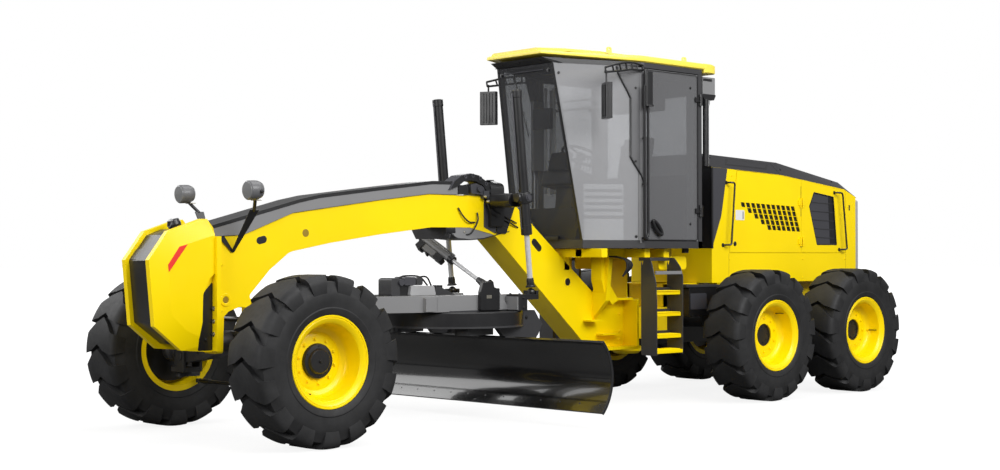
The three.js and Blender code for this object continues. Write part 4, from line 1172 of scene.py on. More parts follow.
def drawbar():
    low, high = DRAWBAR_Z
    body = Shape(GREY)
    pivot = centre("drawbar_ball")
    front = 1000 * (pivot.y - AXLE_Y) + 71
    for s in (1, -1):
        plan = [(-30 * s, front), (70 * s, front), (70 * s, 700), (430 * s, 1750), (430 * s, 2700),
                (290 * s, 2700),
                (290 * s, 1790), (0, 860)]
        body.prism("z", rounded(plan, [0, 12, 60, 60, 8, 8, 60, 20]), low, high)
    body.rod((0, front - 4, 880), (0, front + 44, 880), 66, 60)
    body.hull([(x, y, z) for x in (-66, 66) for y, z in ((front, 820), (front, high - 2), (760, high - 2),
                                                         (900, low))])
    body.box((-430, 430), (1636, 1764), (low + 6, high - 14))
    body.box((-590, 590), (2560, 2680), (low + 6, high - 16))
    body.use(DARK)
    for s in (1, -1):
        body.side = s
        body.box((284, 436), (1900, 2500), (low - 8, low + 8))
        body.prism("x", rounded([(2420, high - 10), (2740, low + 6), (2600, low + 6), (2420, low + 6)], 10),
                   432, 446)
    body.side = 1
    drawbar_motor(body)
    shift_post(body)
    for s in (1, -1):
        body.side = s
        body.use(BLACK)
        body.prism("z", rounded([(430, 2572), (602, 2572), (602, 2680), (430, 2680)], 14), low - 2, high + 4)
        body.prism("z", rounded([(486, 2640), (600, 2640), (600, 2832), (486, 2832)], 30), high - 44,
                   high + 2)
        body.lathe([(0, high - 20), (34, high - 10), (26, high + 4), (26, high + 8), (0, high + 12)],
                   (LIFT_X, LIFT_BALL[0], 0), "z", 32)
        body.ball((LIFT_X, LIFT_BALL[0], LIFT_BALL[1]), 38, 28)
        for y in (-52, 52):
            body.prism("z", rounded([(LIFT_X - 34, LIFT_BALL[0] + y - 16),
                                     (LIFT_X + 34, LIFT_BALL[0] + y - 16),
                                     (LIFT_X + 34, LIFT_BALL[0] + y + 16), (LIFT_X - 34, LIFT_BALL[0] + y + 16)], 10),
                       high, high + 36)
        for x in (456, 576):
            body.bolt((x, 2600, high + 4), (0, 0, 1), 10)
        for z in (975, 1062):
            body.bolt((602, 2626, z), (1, 0, 0), 11)
    body.side = 1
    piece("drawbar_frame", body, "drawbar", ["drawbar"], bevel=5)
    ball = Shape(BLACK).ball(tuple((pivot.x * 1000, 1000 * (pivot.y - AXLE_Y), pivot.z * 1000)), 69, 32)
    piece("drawbar_pivot_ball", ball, "drawbar_ball", ["drawbar_ball"], bevel=0)


def drawbar_motor(body):
    """Circle drive: a gear housing, its motor lying along the drawbar and a domed end."""
    top = DRAWBAR_Z[1]
    body.use(DARK).prism("x", rounded([(1502, top), (1502, 1236), (1536, 1246), (1590, 1246), (1600, top)],
                                      16), -60, 122)
    body.use(BLACK).prism("x", rounded([(1600, top), (1600, 1238), (1760, 1238), (1760, top)], 12), -80, 100)
    body.use(SMOKE).rod((40, 1606, 1208), (140, 1606, 1208), 30)
    body.prism("x", rounded([(1650, 1180), (1650, 1256), (1780, 1252), (1780, 1180)], 16), -20, 118)
    body.use(DARK).prism("x", rounded([(1790, 1180), (1790, 1246), (1862, 1244), (1862, 1180)], 20), -20, 116)
    body.use(PALE).prism("x", rounded([(1700, top), (1716, 1178), (1975, 1172), (2000, top)], 14), -100, 136)
    body.use(DARK).hull([(x, y, z) for x, y, z in ((-60, 2000, top), (130, 2000, top), (-60, 2000, 1164),
                                                   (130, 2000, 1164),
                        (-60, 2060, 1160), (130, 2060, 1160), (-60, 2220,
                                                               1096), (130, 2220, 1096), (-60, 2220, top),
                        (130, 2220, top))])
    body.use(BLACK).rod((60, 2080, top - 2), (60, 2080, 1176), 44)
    for line in ([(60, 1620, 1240), (60, 1700, 1262), (20, 1900, 1252), (-60, 2060, 1176)],
                 [(90, 1800, 1240), (96, 1880, 1256), (40, 1980, 1240), (-30, 2080, 1172)]):
        body.use(RUBBER).pipe(curve_through(line, 6), 8, 10)


def shift_post(body):
    """The upright the centre-shift rod is pinned to."""
    x, y, z = SHIFT_EYE
    body.use(BLACK).prism("x", rounded([(2500, 956), (2500, 1130), (2530, 1150), (2610, 1150), (2620, 956)],
                                       10), 150, 262)
    body.use(GREY).prism("x", [(2612, 958), (2612, 1130), (2640, 1080), (2760, 958)], 228, 246)
    for near in (-52, 34):
        body.use(BLACK).prism("y", rounded([(x - 40, 1100), (x - 34, 1196), (x + 4, 1226), (x + 44, 1196),
                                            (x + 50, 1100)],
                                           18), y + near + 44, y + near + 60)
    body.use(SMOKE).rod((x + 6, y - 14, z + 2), (x + 6, y + 112, z + 2), 17)
    body.use(BLACK).prism("x", rounded([(2232, 958), (2232, 1120), (2262, 1206), (2380, 1206), (2400, 1150),
                                        (2459, 1150), (2459, 958)], 12), 432, 470)
    body.box((255, 440), (2400, 2459), (1096, 1146))
    body.use(GREY).prism("x", [(2455, 958), (2455, 1136), (2490, 1080), (2590, 958)], 444, 462)
    body.use(ZINC).box((470, 473), (2300, 2360), (1060, 1090))


def circle_and_blade():
    spin = Matrix.Translation((0, CIRCLE_Y, 0)) @ Matrix.Rotation(math.radians(3.3), 4, "Z")
    ring = Shape(BLACK)
    ring.place = spin
    ring.lathe([(524, 812), (640, 806), (650, 816), (650, 936), (642, 946), (524, 946), (524, 812)],
               (0, 0, 0), "z", 120)
    ring.use(DARK).lathe([(560, 806), (655, 806), (655, 822), (560, 822), (560, 806)], (0, 0, 0), "z", 120)
    for i in range(72):
        a = 2 * math.pi * i / 72
        ring.place = spin @ Matrix.Rotation(a, 4, "Z")
        ring.prism("z", [(528, -16), (506, -7), (506, 7), (528, 16)], 826, 932)
    ring.place = spin
    ring.use(DARK)
    arm = rounded([(80, 812), (80, 944), (590, 944), (650, 862), (700, 820), (640, 720), (560, 640),
                   (470, 500),
                   (262, 278), (200, 285), (178, 330), (250, 480), (330, 560), (200, 700), (110, 790)],
                  [0, 0, 20, 20, 16, 60, 40, 60, 30, 30, 30, 60, 50, 50, 20])
    for s in (1, -1):
        ring.side = s
        ring.use(DARK).prism("x", arm, 432, 478, holes=[disc(200, 330, 19, 20)])
        ring.use(BLACK).prism("x", rounded([(330, 700), (430, 790), (470, 790), (400, 640)], 16), 380, 432)
        ring.prism("x", rounded([(470, 660), (560, 800), (610, 800), (540, 620)], 16), 400, 432)
        ring.prism("z", rounded([(380, -360), (520, -300), (520, 20), (380, 20)], 30), 742, 812)
        ring.bolt((478, 300, 880), (1, 0, 0), 12)
        ring.bolt((478, 480, 880), (1, 0, 0), 12)
    ring.side = 1
    piece("circle_ring", ring, "circle", ["circle"], bevel=3)
    moldboard(spin)
    blade_carrier(spin)


def blade_line(offset):
    low, high = 147, 725
    sag, half = 122, (high - low) / 2
    radius = (half * half + sag * sag) / (2 * sag)
    swing = math.asin(half / radius)
    count = 26
    return [((radius + offset) * math.cos(a) - radius + sag + 2240 - CIRCLE_Y,
             low + half + (radius + offset) * math.sin(a))
            for a in [-swing + 2 * swing * i / count for i in range(count + 1)]]


def moldboard(spin):
    """The curved blade: thin rolled plate, a bolted cutting edge and two end bits."""
    board = Shape(BLADE)
    board.place = spin
    front, back = blade_line(0), blade_line(20)
    keep = slice(4, None)
    board.prism("x", [*front[keep], *reversed(back[keep])], -1824, 1824)
    board.prism("x", [*front[:6], *reversed(blade_line(14)[:6])], -1829, 1829)
    board.use(BLACK)
    for s in (1, -1):
        board.side = s
        board.prism("x", [*blade_line(-4), *reversed(blade_line(22))], 1818, 1830)
    board.side = 1
    rail = 2240 - CIRCLE_Y + 122 + 22 - 12
    for z0, z1 in ((330, 380), (560, 610)):
        board.prism("x", rounded([(rail - 8, z0), (rail + 40, z0), (rail + 40, z1), (rail - 8, z1)], 5),
                    -900, 900)
    edge = blade_line(0)[3]
    for i in range(17):
        x = -1760 + 220 * i
        board.lathe([(0, 0), (9, 0), (7, 2.5), (0, 2.5)], (x, edge[0] + 1, edge[1]), (0, -1, 0.4), 16)
    piece("moldboard_plate", board, "moldboard", ["moldboard"], bevel=2,
          angle=math.radians(50))


def blade_carrier(spin):
    rail = 2240 - CIRCLE_Y + 122 + 22 - 12
    body = Shape(DARK)
    body.place = spin
    side = rounded([(rail + 14, 292), (rail + 90, 292), (190, 286), (226, 300), (238, 330), (226, 360),
                    (190, 372),
                    (rail + 90, 400), (rail + 88, 638), (rail + 14, 638), (rail + 14, 612), (rail + 41, 612),
                    (rail + 41, 558), (rail + 14, 558), (rail + 14, 382), (rail + 41, 382), (rail + 41, 328),
                    (rail + 14, 328)], [6, 10, 20, 20, 20, 20, 20, 30, 10, 6, 0, 0, 0, 0, 0, 0, 0, 0])
    for s in (1, -1):
        body.side = s
        body.prism("x", side, 342, 429)
        body.rod((410, 200, 330), (480, 200, 330), 18)
        body.rod((480, 200, 330), (486, 200, 330), 30)
        for z in (300, 632):
            body.bolt((385, rail + 90, 500 if z > 400 else 440), (0, 1, 0), 10)
    body.side = 1
    body.rod((-400, rail + 60, 470), (400, rail + 60, 470), 30)
    body.use(BLACK).rod((-300, rail + 60, 470), (300, rail + 60, 470), 38)
    piece("blade_carrier_frame", body, "blade_carrier", ["blade_carrier"], bevel=3)


# ---------- cab ----------
DOOR_FRONT, SIDE_X = 4110, 720
FRONT_LOW, FRONT_HIGH = Vector((475, 3530, 1510)), Vector((380, 3210, 3285))


def front_post(z):
    """The corner between windscreen and side pane at a height."""
    return FRONT_LOW.lerp(FRONT_HIGH, (z - FRONT_LOW.z) / (FRONT_HIGH.z - FRONT_LOW.z))


def on_side(y, z, inward=0.0):
    """A point of the side pane, or as far inside it as asked."""
    a = front_post(z)
    way = Vector((SIDE_X - a.x, DOOR_FRONT - a.y, 0))
    spot = a + way * ((y - a.y) / way.y)
    return tuple(spot + Vector((-way.y, way.x, 0)).normalized() * inward)


def sheet_between(shape, rows, way):
    """A sheet through rows of points, as thick as the way is long."""
    wide, way = len(rows[0]), Vector(way)
    top = [Vector(p) for row in rows for p in row]
    count = len(top)
    points = [tuple(p) for p in top] + [tuple(p + way) for p in top]
    faces = []
    for i in range(len(rows) - 1):
        for j in range(wide - 1):
            a = i * wide + j
            quad = (a, a + 1, a + wide + 1, a + wide)
            faces += [quad, tuple(count + k for k in reversed(quad))]
    edge = [*range(wide), *[i * wide + wide - 1 for i in range(1, len(rows))],
            *reversed([(len(rows) - 1) * wide + j for j in range(wide - 1)]),
            *reversed([i * wide for i in range(1, len(rows) - 1)])]
    for a, b in zip(edge, [*edge[1:], edge[0]]):
        faces.append((a, b, count + b, count + a))
    shape.add(points, faces)
    return shape


def cab_frame():
    top, floor = SILL_TOP, FLOOR_Z
    body = Shape(GREY)
    # floor, sill band and header follow the cab's plan
    plan = [(467, 3538), (SIDE_X - 9, DOOR_FRONT), (SIDE_X - 9, CAB_REAR - 9)]
    body.prism("z", [*plan, *[(-x, y) for x, y in reversed(plan)]], floor, 1560)
    high = [(front_post(3230).x - 9, front_post(3230).y + 9), (SIDE_X - 9, DOOR_FRONT),
            (SIDE_X - 9, CAB_REAR - 9)]
    inner = [(x - 50, y + 50 * (i == 0) - 50 * (i == 2)) for i, (x, y) in enumerate(high)]
    body.use(DARK).prism("z", [*high, *[(-x, y) for x, y in reversed(high)]], 3226, top,
                         holes=[[*inner, *[(-x, y) for x, y in reversed(inner)]]])
    for s in (1, -1):
        body.side = s
        body.use(DARK)
        a, b = front_post(1562), front_post(3230)
        body.hull([(p.x - dx, p.y + dy, p.z) for p in (a, b) for dx,
                   dy in ((10, 10), (46, 12), (44, 46), (12, 40))])
        body.use(GREY)
        body.prism("z", rounded([(650, 4040), (711, 4072), (711, 4114), (650, 4114)], 8), 1560, 3230)
        body.prism("z", rounded([(640, CAB_REAR - 66), (711, CAB_REAR - 66), (711, CAB_REAR - 10),
                                 (560, CAB_REAR - 10),
                                 (560, CAB_REAR - 50), (640, CAB_REAR - 50)], 6), 1560, 3230)
        body.prism("x", rounded([(4118, 1560), (4899, 1560), (4899, 1578), (4118, 1578)], 2), 650, 711)
        body.prism("x", [(DOOR_FRONT, 3222), (CAB_REAR - 58, 3222), (CAB_REAR - 58, 3232),
                         (DOOR_FRONT, 3232)], 650, 711)
        # outer strip behind the door and along the sill
        body.use(DARK).prism("z", [(SIDE_X - 10, CAB_REAR - 56), (SIDE_X, CAB_REAR - 56),
                                   (SIDE_X, CAB_REAR), (SIDE_X - 10, CAB_REAR)],
                   floor, top)
        body.use(DARK)
        for z0, z1 in ((floor, 1586), (3240, top - 2)):
            a, b = front_post((z0 + z1) / 2), Vector((SIDE_X, DOOR_FRONT, 0))
            body.hull([(x, y, z) for z in (z0, z1) for x, y in ((a.x + 1, a.y - 2), (b.x + 1, b.y),
                                                                (b.x - 14, b.y),
                                                               (a.x - 12, a.y + 6))])
        body.prism("x", [(DOOR_FRONT, 3234), (CAB_REAR, 3234), (CAB_REAR, top - 2), (DOOR_FRONT, top - 2)],
                   SIDE_X - 12,
                   SIDE_X + 1)
        body.use(DARK).prism("x", [(DOOR_FRONT, floor), (CAB_REAR, floor), (CAB_REAR, 1578),
                                   (DOOR_FRONT, 1578)],
                             SIDE_X - 12, SIDE_X)
        body.use(BLACK)
        for z in (1850, 2950):
            for low in (z - 26, z + 60):
                body.prism("z", rounded([(680, 4917), (735, 4917), (753, 4925), (753, 4945), (735, 4953),
                                         (680, 4953)], 6),
                           low, low + 25)
            body.rod((735, 4935, z - 30), (735, 4935, z + 90), 9.7, steps=16)
        grab_bars(body)
        pillar_cover(body)
        for y in (4250, 4850):
            body.use(PLASTIC).rod((600, y, floor - 46), (600, y, floor), 34)
    body.side = 1
    body.use(DARK)
    a = front_post(1548)
    body.hull([(x, y, z) for x in (-a.x, a.x) for y, z in ((a.y - 8, floor), (a.y - 8, 1590),
                                                           (a.y + 6, floor),
                                                           (a.y + 6, 1590))])
    # rear wall below and beside its window
    for x0, x1, z0, z1 in ((-562, 562, 1560, 2245), (-562, 562, 3200, 3230)):
        body.use(DARK).box((x0, x1), (CAB_REAR - 50, CAB_REAR - 14), (z0, z1))
    body.use(BLACK)
    for x in (-1, 1):
        body.box((x * 575 - 12, x * 575 + 12), (CAB_REAR - 30, CAB_REAR + 2), (2230, 3215))
    visor(body)
    piece("cab_frame_tubes", body, "front_chassis", ["cab_frame"], bevel=2.5)


def visor(body):
    """The dark header between windscreen and roof, with its bolts and the wiper bar below it."""
    body.use(DARK).prism("x", [(3102, SILL_TOP), (3140, SILL_TOP), (3290, 3240), (3222, 3240)], -350, 350)
    body.hull([(x, y, z) for x, y, z in ((352, 3102, SILL_TOP), (-352, 3102, SILL_TOP), (378, 3212, 3242),
                                         (-378, 3212, 3242), (430, 3300,
                                                              3242), (-430, 3300, 3242), (430, 3300, SILL_TOP),
                                         (-430, 3300, SILL_TOP))])
    for x in (-250, 0, 270):
        body.use(BLACK).bolt((x, 3152, 3267), (0, -0.4, -0.9), 9)
    body.use(SMOKE).pipe([(-290, 3220, 3185), (250, 3220, 3185)], 7, 8)
    for x in (-330, 310):
        body.use(BLACK).bolt((x, 3226, 3178), (0, -0.98, 0.18), 12)
    body.pipe(bent([(-150, 3222, 3180), (-150, 3226, 3150), (-60, 3330, 2580)], 20), 6, 8)
    body.use(BLACK).box((-190, 190), (3468, 3500), (1590, 1622))
    body.pipe([(-60, 3492, 1610), (-250, 3440, 1900)], 7, 8)


def pillar_cover(body):
    """The grey cover forward of the door, its curved black edge and two bolts."""
    edge = [(3832, 3236), (3859, 3150), (3963, 2960), (3972, 2880), (3972, 2420), (3977, 2370), (4074, 2210)]
    line = curve_through(edge, 5)
    line = [(p[0], p[1]) for p in line]
    body.use(DOOR_GREY)
    outline = [*line, (DOOR_FRONT - 2, 2180), (DOOR_FRONT - 2, 3236)]
    near = [on_side(y, z, -3) for y, z in outline]
    far = [on_side(y, z, 6) for y, z in outline]
    count = len(outline)
    faces = [(i, (i + 1) % count, count + (i + 1) % count, count + i) for i in range(count)]
    caps = tessellate_polygon([[Vector((y, z, 0)) for y, z in outline]])
    body.add([*near, *far], [*faces, *caps, *[[count + i for i in reversed(cap)] for cap in caps]])
    body.use(BLACK).pipe([on_side(y, z, -4) for y, z in line], 9, 8)
    body.pipe([on_side(4074, 2210, -4), on_side(4098, 2160, -4), (722, DOOR_FRONT - 2, 2120),
               (722, DOOR_FRONT - 2, 1600)], 8, 8)
    for y, z in ((4024, 3038), (4023, 2337)):
        body.bolt(on_side(y, z, -5), (0.92, -0.39, 0), 8)


def grab_bars(body):
    """The thick bar at the top of the door's front edge and the long thin loop below it."""
    body.use(BLACK)
    x, y = 764, 4086
    body.prism("z", rounded([(x - 16, y - 8), (x + 16, y - 8), (x + 16, y + 88), (x - 16, y + 88)], 14),
               2868, 3196)
    body.pipe(bent([(712, y + 14, 3214), (x - 4, y - 4, 3214), (x - 4, y - 4, 3060)], 30), 9, 8)
    body.lathe([(0, 0), (52, 0), (52, 12), (0, 12)], (x, y + 36, 2862), "z", 24)
    for dy in (-22, 30):
        body.pipe(bent([(x, y + dy, 3060), (x, y + dy, 1640), (x, y + 4, 1606), (714, y + 4, 1606)], 22),
                  12, 10)
    body.use(BLACK).pipe(bent([(x, y - 22, 1650), (x, y - 18, 1600), (x, y + 24, 1600), (x, y + 30, 1650)],
                              16), 11, 10)
    for z in (2120, 2560):
        body.pipe([(712, y + 4, z), (x, y + 4, z)], 7, 8)


def cab_glass():
    screen = Shape(WIND_GLASS)
    low, high = 1522, 3240
    a, b = front_post(low), front_post(high)
    sheet_between(screen, [[(-a.x, a.y, low), (a.x, a.y, low)], [(-b.x, b.y, high), (b.x, b.y, high)]],
                  (0, 7.5, 1))
    screen.use(BLACK)
    for s in (1, -1):
        screen.side = s
        sheet_between(screen, [[tuple(a + Vector((-20, -1.5, 0))), tuple(a + Vector((1.5, -1.5, 0)))],
                               [tuple(b + Vector((-20, -1.5, 0))), tuple(b + Vector((1.5, -1.5, 0)))]], (0, 3, 0))
        side_pane(screen, low, high)
        screen.use(BLACK)
        for y, z in ((3273, 3147), (3727, 3177), (4029, 1621)):
            screen.bolt(on_side(y, z, -2), (0.92, -0.39, 0), 9)
    screen.side = 1
    piece("cab_front_glass", screen, "front_chassis", ["front_glass"], bevel=0)
    back = Shape(SIDE_GLASS)
    back.prism("y", rounded([(-572, 2234), (572, 2234), (572, 3212), (-572, 3212)], 30), CAB_REAR - 7,
               CAB_REAR - 1)
    piece("cab_rear_glass", back, "front_chassis", ["rear_glass"], bevel=0)


def side_pane(shape, low, high):
    """The light pane between windscreen and door."""
    shape.use(SIDE_GLASS)
    rows = []
    for i in range(9):
        z = low + (high - low) * i / 8
        y = front_post(z).y
        rows.append([on_side(y + (4048 - y) * t, z) for t in (0.0, 0.5, 1.0)])
    sheet_between(shape, rows, (-7, 2.8, 0))


def cab_doors():
    y0, y1, z0, z1 = DOOR_FRONT + 10, CAB_REAR - 64, 1584, 3221
    for side, s in SIDES:
        door = Shape(DOOR_GLASS)
        door.side = s
        door.prism("x", rounded([(y0 + 6, z0 + 6), (y1 - 6, z0 + 6), (y1 - 6, z1 - 6), (y0 + 6, z1 - 6)],
                                40), 712, 718)
        door.use(BLACK)
        frame = rounded([(y0, z0), (y1, z0), (y1, z1), (y0, z1)], 34)
        door.prism("x", frame, 684, 716.5, holes=[rounded([(y0 + 16, z0 + 16), (y1 - 16, z0 + 16),
                                                           (y1 - 16, z1 - 16),
                                                           (y0 + 16, z1 - 16)], 24)])
        door.prism("x", frame, 716, 719.5, holes=[rounded([(y0 + 9, z0 + 9), (y1 - 9, z0 + 9),
                                                           (y1 - 9, z1 - 9),
                                                           (y0 + 9, z1 - 9)], 28)])
        for z in (1850, 2950):
            door.prism("x", rounded([(y1 - 46, z + 6), (y1 + 34, z + 6), (y1 + 34, z + 54),
                                     (y1 - 46, z + 54)], 8), 716, 733)
            door.lathe([(10.6, 0), (18, 0), (18, 60), (10.6, 60), (10.6, 0)], (735, 4935, z), "z", 24)
        ring = [(4270 + 60 * math.cos(a) - 22 * math.sin(a), 1706 + 52 * math.sin(a) - 40 * math.cos(a))
                for a in [2 * math.pi * i / 28 for i in range(28)]]
        for i in range(28):
            p, q = ring[i], ring[(i + 1) % 28]
            door.rod((744, *p), (744, *q), 18, steps=12)
        door.box((716, 744), (4228, 4260), (1730, 1760))
        door.use(DARK).rod((716, 4290, 1690), (736, 4290, 1690), 22)
        door.use(BLACK)
        for y, z in ((4793, 3090), (4787, 1749), (4200, 3120)):
            door.bolt((717, y, z), (1, 0, 0), 9)
        piece(f"cab_door_{side}_panel", door, f"cab_door_{side}", [f"cab_door_{side}"],
              bevel=1.5)


def cab_roof():
    z = SILL_TOP + 0.4
    # roof shell in the paler yellow: painted highlight of its lit top
    body = Shape(ROOF_HIGHLIGHT_YELLOW)
    rear = 5004

    def ring(inset, front_z, side_z, back=rear):
        plan = [(370 - inset, 3070 + inset, front_z), (735 - inset, DOOR_FRONT, side_z),
                (735 - inset, back, side_z)]
        return [p for x, y, h in plan for p in ((x, y, h), (-x, y, h))]

    body.hull([*ring(18, z + 26, z), *ring(2, z + 30, z + 10), *ring(0, z + 42, z + 20),
               *ring(3, z + 58, z + 52),
               *ring(16, z + 66, z + 62), *ring(95, z + 78, z + 76)])
    raised = [(330, 3090), (470, 3330), (560, 3700), (560, 4700), (470, 4860)]
    body.hull([(sx * (x - i), y, h) for h, i in ((z + 60, 0), (z + 84, 14), (z + 92, 40)) for x, y in raised
               for sx in (1, -1)])
    block = [(735, 4990), (735, 5120), (700, 5198)]
    body.hull([(sx * (x - i), y - i, h) for h, i in ((z - 30, 10), (z - 22, 0), (z + 52, 0), (z + 64, 12))
               for x, y in [(735, 5006), *block[1:]] for sx in (1, -1)])
    body.use(DARK).prism("z", [(-640, 3420), (640, 3950), (640, 4960), (-640, 4960)], z + 0.2, z + 4)
    for s in (1, -1):
        body.side = s
        # lugs in the palest yellow: painted highlight of the roof's sides
        body.use(PALE_HIGHLIGHT_YELLOW)
        for y in (3748, 4838):
            lug = rounded([(y - 36, z + 60), (y + 36, z + 60), (y + 30, z + 126), (y - 30, z + 126)],
                          [0, 0, 24, 24])
            body.prism("x", lug, 592, 606, holes=[disc(y, z + 104, 12, 16)])
    body.side = 1
    piece("cab_roof_shell", body, "front_chassis", ["cab_roof"], bevel=5)


def mirrors_and_cooler():
    body = Shape(BLACK)
    for s in (1, -1):
        body.side = s
        head = rounded([(716, 3514), (746, 3566), (899, 3478), (869, 3426)], 16)
        low = 2704 if s > 0 else 2748
        body.use(BLACK).prism("z", head, low, low + 332)
        for i in range(4):
            x, y = 752 + 26 * i, 3490 - 15 * i
            body.prism("z", [(x - 6, y - 4), (x + 4, y - 10), (x + 8, y - 3), (x - 2, y + 3)], low + 20,
                       low + 312)
        body.use(MIRROR).prism("z", [(766, 3552), (880, 3486), (882, 3490), (768, 3556)], low + 18, low + 314)
        body.use(BLACK).rod((807, 3490, 3030), (807, 3490, 3150), 9, steps=12)
        mirror_arm(body)
        body.use(GREY).box((560, 700), (CAB_REAR + 40, 5198), (3030, 3222))
        body.use(BLACK)
        body.box((558, 702), (5010, 5150), (3180, 3206))
        body.prism("x", rounded([(CAB_REAR + 34, 3040), (CAB_REAR + 60, 2996), (5180, 2996), (5206, 3040),
                                 (5206, 3052),
                                 (CAB_REAR + 34, 3052)], 8), 560, 703)
        body.pipe(bent([(690, 5060, 3000), (690, 5060, 2330)], 10), 30, 12)
        body.use(GREY).pipe(bent([(690, 5108, 2996), (690, 5108, 2960), (690, 5092, 2930),
                                  (690, 5092, 2330)], 20), 14, 12)
    body.side = 1
    body.use(DARK).box((-560, 560), (CAB_REAR + 6, 5180), (3060, 3250))
    piece("mirrors_and_rear_boxes", body, "front_chassis", bevel=3)


def mirror_arm(body):
    """A flat ladder-like arm out from the cab's corner, curving down to the mirror."""
    upper = curve_through([(724, 4086, 3254), (752, 3900, 3262), (786, 3690, 3232), (812, 3470, 3176)], 6)
    lower = curve_through([(724, 4086, 3206), (750, 3900, 3196), (780, 3720, 3168), (810, 3476, 3132)], 6)
    for line in (upper, lower):
        body.pipe(line, 11, 8)
    for i in range(0, len(upper), 3):
        body.pipe([upper[i], lower[min(i, len(lower) - 1)]], 9, 8)


# ---------- inside the cab ----------
def cushion(name, low, high, cap, tilt=0.0, anchor=(0, 0, 0)):
    """A padded block: its skin is blown up like cloth, held at its base."""
    shape = Shape(CLOTH)
    shape.prism("z", rounded([(low[0], low[1]), (high[0], low[1]), (high[0], high[1]), (low[0], high[1])],
                             60, 6),
                low[2], high[2])
    obj = piece(name, shape, "front_chassis", bevel=0)
    turn = (Matrix.Translation(Vector(anchor)) @ Matrix.Rotation(tilt, 4,
                                                                 "X") @ Matrix.Translation(-Vector(anchor)))
    place = Matrix.Translation((0, AXLE_Y, 0)) @ Matrix.Scale(0.001, 4)
    obj.data.transform(place @ turn @ place.inverted())
    remesh = obj.modifiers.new("even", "REMESH")
    remesh.mode = "VOXEL"
    remesh.voxel_size = 0.006
    swell(obj, cap)
    return obj


def swell(obj, cap):
    """Blows the skin up with cloth pressure and keeps the result, moved no further than the cap."""
    graph = bpy.context.evaluated_depsgraph_get()
    skin = bpy.data.meshes.new_from_object(obj.evaluated_get(graph))
    obj.modifiers.clear()
    before = obj.data
    obj.data = skin
    for paint in before.materials:
        if paint.name not in skin.materials:
            skin.materials.append(paint)
    start = [v.co.copy() for v in skin.vertices]
    low = min(p.z for p in start)
    hold = obj.vertex_groups.new(name="hold")
    hold.add([i for i, p in enumerate(start) if p.z < low + 0.01], 1.0, "REPLACE")
    cloth = obj.modifiers.new("cloth", "CLOTH")
    cloth.settings.quality = 4
    cloth.settings.use_pressure = True
    cloth.settings.uniform_pressure_force = 4
    cloth.settings.effector_weights.gravity = 0
    cloth.settings.vertex_group_mass = "hold"
    scene = bpy.context.scene
    for frame_number in range(1, 21):
        scene.frame_set(frame_number)
    graph = bpy.context.evaluated_depsgraph_get()
    blown = obj.evaluated_get(graph).to_mesh()
    for vertex, was, now in zip(skin.vertices, start, [v.co.copy() for v in blown.vertices]):
        step = now - was
        if step.length > cap:
            step *= cap / step.length
        vertex.co = was + step
    obj.evaluated_get(graph).to_mesh_clear()
    obj.modifiers.clear()
    scene.frame_set(1)
    skin.shade_smooth()


def seat():
    shape = Shape(BLACK)
    z = 1560.4
    shape.box((-170, 170), (4310, 4640), (z, z + 60))
    shape.prism("z", rounded([(-120, 4360), (120, 4360), (120, 4600), (-120, 4600)], 30), z + 60, z + 250)
    for i in range(4):
        shape.prism("z", rounded([(-140, 4340), (140, 4340), (140, 4620), (-140, 4620)], 40),
                    z + 80 + 40 * i, z + 100 + 40 * i)
    shape.box((-190, 190), (4260, 4700), (z + 250, z + 300))
    shape.prism("x", rounded([(4650, z + 280), (4730, z + 280), (4860, z + 1060), (4830, z + 1080)], 20),
                -190, 190)
    for s in (1, -1):
        shape.side = s
        shape.use(PLASTIC).prism("x", rounded([(4300, z + 480), (4640, z + 500), (4640, z + 580),
                                               (4290, z + 560)], 24), 270, 340)
        shape.use(BLACK).box((280, 320), (4560, 4640), (z + 300, z + 490))
        for i in range(4):
            foot = (290 + 14 * i, 4330 + 34 * i, z + 560)
            shape.use(DARK).rod(foot, (foot[0], foot[1] - 14, z + 660), 5, steps=10)
            shape.use(BLACK).ball((foot[0], foot[1] - 14, z + 672), 14, 12)
    shape.side = 1
    base = piece("seat_base", shape, "front_chassis", ["seat"], bevel=4)
    cushion("seat_cushion", (-235, 4250, z + 305), (235, 4700, z + 415), 0.022)
    cushion("seat_back", (-215, 4660, z + 430), (215, 4760, z + 1020), 0.02, math.radians(-10),
            (0, 4710, z + 430))
    return base


